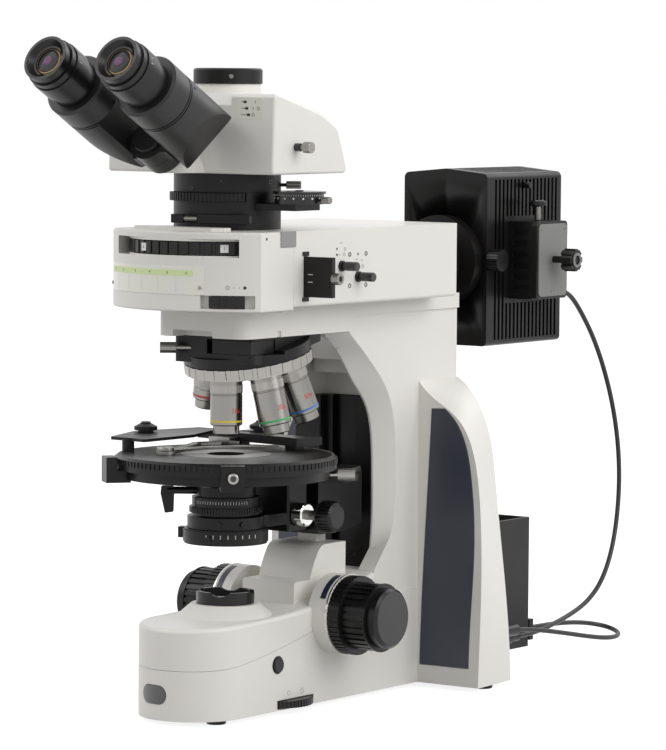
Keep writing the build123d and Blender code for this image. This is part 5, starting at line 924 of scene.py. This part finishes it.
@dataclass
class Tubes:
    """Marks and small fittings of the head, the intermediate tube, the dial and the port."""

    tube_radius: float = 43.0
    label_y: float = -49.32
    dial_x: float = 71.0

    def build(self) -> None:
        """Make the label of the rod's places, the holes, the dial, the tubes and the port's trim."""
        self.place_label()
        self.holes()
        self.dial()
        self.eye_tubes()
        self.splitter()
        start = from_front(20.0) * 42.0 - from_right(20.0) * 24.6
        place = Place((start[0], start[1], 400.5), (0, 0, 1), from_right(20.0))
        spun("spring_sleeve", place, band(0.0, 2.2, 0.0, 12.5), DULL_STEEL, "compensator_slider", 40)
        rim = [(19.05, 518.0), (26.5, 518.0), (26.5, 519.3), (25.8, 519.6), (20.2, 519.6), (19.05, 518.9)]
        spun("port_lip", Place((0, 0, 0)), rim, GLOSS_BLACK)
        grip = [(0.0, 3.6), (1.6, 3.6), (1.9, 3.2), (1.9, 0.0), (0.0, 0.0)]
        spun("port_screw", pointing(from_front(42.0), 26.5, 513.0), grip, SHADED_STEEL, steps=24)

    def place_label(self) -> None:
        """Label of the splitter rod's places: bars, blocks, eyes and rings."""
        face, middle = self.label_y, 488.3
        plate("place_label", front_face(57.7, -49.2, middle), rounded(26.0, 17.0, 1.0), -0.4, 0.1, CHART_CREAM)
        rows = ((5.0, 2.2), (0.0, 3.8), (-5.0, 5.6))
        for index, (row, length) in enumerate(rows):
            bar = front_face(50.0 + length / 2, face, middle + row)
            marks(f"place_bar_{index}", [bar], (length, 0.45, 0.1), MARK_DARK)
        blocks = [front_face(51.5 + length, face, middle + row) for row, length in rows]
        marks("place_blocks", blocks, (3.0, 2.0, 0.1), MARK_DARK)
        eyes = [front_face(63.5, face, 493.3), front_face(61.5, face, middle)]
        marks("place_eyes", eyes, (0.5, 2.2, 0.1), MARK_DARK)
        ring = [(1.0, 0.0), (1.0, 0.12), (1.35, 0.12), (1.35, 0.0)]
        for index, (x, z) in enumerate(((66.5, middle), (61.5, 483.3))):
            spun(f"place_ring_{index}", front_face(x, -49.28, z), ring, MARK_DARK, steps=24)

    def holes(self) -> None:
        """Dark screw places round the intermediate tube."""
        for index, (angle, level, size) in enumerate(((-4.3, 424.5, 1.6), (88.5, 429.5, 2.0), (30.0, 430.5, 0.8))):
            place = pointing(from_front(angle), self.tube_radius, level)
            screw(f"tube_screw_{index}", place, size, GLOSS_BLACK, proud=0.35)

    def eye_tubes(self) -> None:
        """Both tube housings with their slanted lower facets and screws, and the pivot's cover."""
        tilt = math.radians(EYE_TILT)
        along = np.array([0.0, -math.cos(tilt), math.sin(tilt)])
        above = np.array([0.0, math.sin(tilt), math.cos(tilt)])
        for name, side in (("left", -1.0), ("right", 1.0)):
            foot = (side * EYE_FOOT[0], *EYE_FOOT[1:])
            mesh = cut_copy(f"{name} tube", f"{name}_tube", foot, (side * 0.761, 0.213, -0.615))
            piece(f"{name}_tube_body", mesh, TUBE_BLACK, f"{name}_tube", Edge.SOFT, [f"{name}_tube"])
            for index, (angle, level) in enumerate(((8.0, 76.0), (58.0, 64.0))):
                turn = math.radians(angle)
                way = side * math.sin(turn) * np.array([1.0, 0.0, 0.0]) + math.cos(turn) * above
                spot = Place(np.array(foot) + 26.5 * way + level * along, along, way)
                screw(f"{name}_tube_screw_{index}", spot, 1.5, BLACK_PLASTIC, f"{name}_tube", 0.3)
        cap = [(0.0, 30.0), (13.3, 30.0), (13.3, 32.9), (12.9, 33.3), (0.0, 33.3)]
        place = Place(np.array([0.0, *EYE_FOOT[1:]]) - 12.0 * above, (1, 0, 0), along)
        spun("pivot_cover", place, cap, TUBE_BLACK, steps=64)

    def splitter(self) -> None:
        """Push-pull rod with its steel cup, which slides over a black sleeve on the head, and the clamp's sleeve."""
        place = side_place(0.0, -20.0, 458.0)
        body = "beam_splitter_rod"
        spun("splitter_rod", place, band(0.0, 2.0, 64.0, 96.0), DULL_STEEL, body, 40, replaces=[body])
        cup = [(0.0, 95.6), (3.5, 95.6), (3.5, 90.2), (4.2, 90.2), (4.5, 90.5), (4.5, 97.1), (4.1, 97.5), (0.0, 97.5)]
        spun("splitter_cup", place, cup, STEEL, body, 48)
        sleeve = [(2.2, 81.8), (3.3, 81.8), (3.3, 86.6), (3.0, 86.9), (2.2, 86.9)]
        spun("splitter_sleeve", place, sleeve, GLOSS_BLACK, steps=48)
        grip = [(0.0, 47.2), (2.6, 47.2), (3.1, 47.6), (3.1, 58.6), (2.7, 59.0), (0.0, 59.0)]
        place = pointing(from_right(35.3), 0.0, 426.5)
        spun("clamp_sleeve", place, grip, DULL_STEEL, steps=48, ripple=teeth(16, 0.015))

    def dial(self) -> None:
        """White dots and ticks round the analyzer's dial, its hub and its screw."""
        body = "analyzer_dial"
        for name, step, reach, level, size in (("dial_dots", 22.5, 19.55, 417.4, (0.3, 1.3, 1.3)),
                                               ("dial_ticks", 5.625, 19.5, 419.9, (0.25, 0.35, 0.9))):
            ways = [from_right(angle) for angle in np.arange(0, 360, step)]
            spots = [Place((self.dial_x + reach * way[0], reach * way[1], level), way) for way in ways]
            marks(name, spots, size, MARK_WHITE, body)
        hub = [(0.0, 0.9), (3.2, 0.9), (3.6, 0.5), (3.6, -0.3), (0.0, -0.3)]
        spun("dial_hub", Place((self.dial_x, 0, 422.8)), hub, BLACK_PAINT, body, 40)
        nut = [(0.0, 7.4), (2.4, 7.4), (2.8, 7.0), (2.8, 0.2), (0.0, 0.2)]
        place = Place((self.dial_x + 23.0, 0.0, 416.2), (0, 0, 1), (1, 0, 0))
        spun("dial_screw", place, nut, DULL_STEEL, body, 64, teeth(16, 0.02))


@dataclass
class Stand:
    """Trim, marks and small fittings of the base, the focus drive and the lamp house."""

    base_half: float = 44.5
    focus: Span = (90.6, 75.1)
    ray_centre: Span = (45.0, 17.0)

    def build(self) -> None:
        """Make the field lens, the marks of the light controls, the trim and the guide's wing."""
        lens = [(0.0, 89.8)] + [(r, 89.8 - (r / 18.6) ** 2 * 1.8) for r in np.linspace(2, 18.6, 10)]
        lens += [(18.6, 87.5), (0.0, 87.5)]
        spun("field_lens", Place((0, 0, 0)), lens, CLEAR_GLASS, steps=72)
        self.focus_trim()
        ring = band(6.7, 7.4, -0.2, 0.15)
        spun("button_ring", side_place(self.base_half, 11.5, 41.3), ring, MARK_DARK, steps=48)
        ring = [(1.5, 0.0), (1.5, 0.1), (1.9, 0.1), (1.9, 0.0)]
        for index, y in enumerate((26.4, 45.0)):
            spun(f"light_mark_{index}", side_place(self.base_half, y, 17.0), ring, PALE_MARK, steps=32)
        rays, (y, z) = [], self.ray_centre
        for angle in np.radians(np.arange(0, 360, 45)):
            way = (0.0, math.cos(angle), math.sin(angle))
            rays.append(Place((self.base_half + 0.05, y + 2.7 * way[1], z + 2.7 * way[2]), way, (1, 0, 0)))
        marks("light_rays", rays, (0.9, 0.35, 0.1), PALE_MARK)
        self.lamp_fittings()
        plate("guide_wing", Place((-33.0, 161.5, 218.5)), rounded(26.0, 7.0, 0.8), -28.5, 28.5, BLACK_PAINT,
              Edge.FINE)

    def focus_trim(self) -> None:
        """Bright ring and dark label on both focus collars, rims and faces of the knobs."""
        face = [(0.0, 0.35), (21.4, 0.35), (21.8, 0.1), (21.8, -0.4), (0.0, -0.4)]
        rings = (("bright_ring", 57.4, band(32.6, 33.25, 0.0, 1.3), "stand", BRIGHT_TRIM, 128),
                 ("barrel_rim", 90.9, band(26.0, 28.0, 0.0, 1.4), "coarse_knobs", BLACK_PLASTIC, 128),
                 ("fine_face", 101.8, face, "fine_knobs", CAP_FACE, 96))
        for name, side in (("right", 1.0), ("left", -1.0)):
            for ring, reach, profile, body, finish, steps in rings:
                place = Place((side * reach, *self.focus), (0, 0, 1), (side, 0, 0))
                spun(f"{ring}_{name}", place, profile, finish, body, steps)
            label = self.collar_label(side, 50.2, 55.4, 33.05, 33.25, math.radians(-62), math.radians(-12))
            piece(f"collar_label_{name}", label, LABEL_NAVY)

    def collar_label(self, side: float, start: float, end: float, low: float, high: float,
                     first: float, last: float) -> Mesh:
        """Thin curved label on a focus collar: angle from straight up towards the front, and X along it."""
        steps, (y, z) = 32, self.focus
        angle = np.linspace(first, last, steps)
        rows = [np.stack([np.full(steps, side * x), y + r * np.sin(angle), z + r * np.cos(angle)], axis=-1)
                for x, r in ((start, low), (start, high), (end, high), (end, low))]
        number = np.arange(4) * steps
        faces = np.concatenate([grid_faces(4, steps, True, False), np.array([number, number + steps - 1])])
        return mesh_from("collar label", to_frame(np.stack(rows)), faces)

    def lamp_fittings(self) -> None:
        """Socket's face plate with its screws, the thumbscrew's cap and stem, and the clamp knob's ring."""
        plate("socket_face", side_place(72.0, 372.5, 355.5), rounded(44.5, 62.5, 4.0), -0.5, 1.2, GREY_PLASTIC,
              Edge.FINE)
        for index, (y, z) in enumerate(((354.6, 382.0), (391.0, 382.6), (372.4, 328.6))):
            screw(f"face_screw_{index}", side_place(73.2, y, z), 1.7, DULL_STEEL, proud=0.5)
        cap = [(0.0, 0.0), (7.4, 0.0), (7.8, 0.5), (7.8, 3.4), (7.0, 4.0), (0.0, 4.0)]
        spun("socket_thumb_cap", Place((57.0, 372.5, 402.2)), cap, BLACK_PLASTIC, steps=64, ripple=teeth(24, 0.015))
        spun("socket_stem", Place((57.0, 372.5, 390.0)), band(0.0, 2.9, 0.0, 11.0), SHADED_STEEL, steps=32)
        ring = [(4.0, 0.2), (4.0, 1.3), (6.4, 1.3), (6.4, 0.2)]
        spun("star_ring", side_place(96.0, 374.0, 356.0), ring, GREY_PLASTIC, "star_knob", 48)


@dataclass
class Studio:
    """Floor, lights, world and camera."""

    azimuth: float = 35.338
    pitch: float = 4.338
    roll: float = 0.418
    focal_pixels: float = 4155.2
    spot: Vec3 = (1995.02, -2665.73, 526.65)

    def build(self) -> None:
        """Set the stage and the camera."""
        scene = bpy.context.scene
        scene.view_settings.view_transform = "Standard"
        self.camera(scene)
        self.world(scene)
        self.floor()
        self.lamp("key", (-1.3, -1.6, 2.0), 1.6, 17.0)
        self.lamp("fill", (2.2, 0.1, 1.5), 1.8, 30.0)
        self.lamp("rear", (0.6, 2.2, 1.8), 1.6, 12.0)

    def camera(self, scene: bpy.types.Scene) -> None:
        """Place the camera where the photograph was taken."""
        a, p, r = (math.radians(v) for v in (self.azimuth, self.pitch, self.roll))
        right = np.array([math.cos(a), math.sin(a), 0.0])
        forward = np.array([-math.sin(a) * math.cos(p), math.cos(a) * math.cos(p), -math.sin(p)])
        up = np.cross(right, forward)
        side = math.cos(r) * right + math.sin(r) * up
        top = -math.sin(r) * right + math.cos(r) * up
        data = bpy.data.cameras.new("camera")
        data.sensor_width = 36.0
        data.sensor_fit = "AUTO"
        data.lens = self.focal_pixels * data.sensor_width / IMAGE_HEIGHT
        data.clip_end = 30.0
        thing = bpy.data.objects.new("camera", data)
        scene.collection.objects.link(thing)
        turn = Matrix(np.c_[side, top, -forward].tolist()).to_4x4()
        thing.matrix_world = Matrix.Translation(Vector(to_frame(np.array(self.spot)))) @ turn
        scene.camera = thing

    def world(self, scene: bpy.types.Scene) -> None:
        """White behind the object, soft light on it."""
        world = bpy.data.worlds.new("studio")
        scene.world = world
        world.use_nodes = True
        tree = world.node_tree
        back = fill(tree.nodes["Background"], {"Color": (1.0, 1.0, 1.0, 1.0)})
        path = tree.nodes.new("ShaderNodeLightPath")
        seen, clear = tree.nodes.new("ShaderNodeMath"), tree.nodes.new("ShaderNodeMath")
        seen.operation = clear.operation = "MAXIMUM"
        level = fill(tree.nodes.new("ShaderNodeMapRange"), {"To Min": 0.62, "To Max": 1.0})
        wire(tree, (path, "Is Camera Ray", seen, 0), (path, "Is Glossy Ray", seen, 1), (seen, 0, clear, 0),
             (path, "Is Transmission Ray", clear, 1), (clear, 0, level, "Value"), (level, "Result", back, "Strength"))

    def floor(self) -> None:
        """Pale floor that shows white to the camera and keeps the shadow."""
        mesh = bpy.data.meshes.new("floor")
        half = 8.0
        corners = [(-half, -half, 0.0), (half, -half, 0.0), (half, half, 0.0), (-half, half, 0.0)]
        mesh.from_pydata(corners, [], [(0, 1, 2, 3)])
        floor = bpy.data.objects.new("floor", mesh)
        bpy.context.scene.collection.objects.link(floor)
        material = bpy.data.materials.new("floor")
        material.use_nodes = True
        tree = material.node_tree
        shader = fill(tree.nodes["Principled BSDF"], {
            "Base Color": (0.42, 0.42, 0.42, 1.0), "Roughness": 0.9, "Specular IOR Level": 0.0,
            "Emission Color": (1.0, 1.0, 1.0, 1.0)})
        path = tree.nodes.new("ShaderNodeLightPath")
        seen, level = tree.nodes.new("ShaderNodeMath"), tree.nodes.new("ShaderNodeMath")
        seen.operation, level.operation = "MAXIMUM", "MULTIPLY"
        level.inputs[1].default_value = 0.85
        wire(tree, (path, "Is Camera Ray", seen, 0), (path, "Is Glossy Ray", seen, 1), (seen, 0, level, 0),
             (level, 0, shader, "Emission Strength"))
        mesh.materials.append(material)

    def lamp(self, name: str, spot: Vec3, size: float, power: float) -> None:
        """Soft square light aimed at the middle of the object."""
        data = bpy.data.lights.new(name, "AREA")
        data.size = size
        data.energy = power
        thing = bpy.data.objects.new(name, data)
        bpy.context.scene.collection.objects.link(thing)
        place = Vector(spot)
        thing.matrix_world = Matrix.Translation(place) @ (
            (Vector((0.0, 0.0, 0.28)) - place).to_track_quat("-Z", "Y").to_matrix().to_4x4())


def main() -> None:
    """Load the frame, dress it, add the details and set the studio."""
    logging.basicConfig(level=logging.INFO)
    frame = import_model()
    NODES.update(frame["nodes"])
    Studio().build()
    Cables().build()
    Dressing().build(frame["nodes"])
    for part in (Eyepieces(), Tubes(), Illuminator(), Objectives(), Stage(), Stand()):
        part.build()


if __name__ == "__main__":
    main()
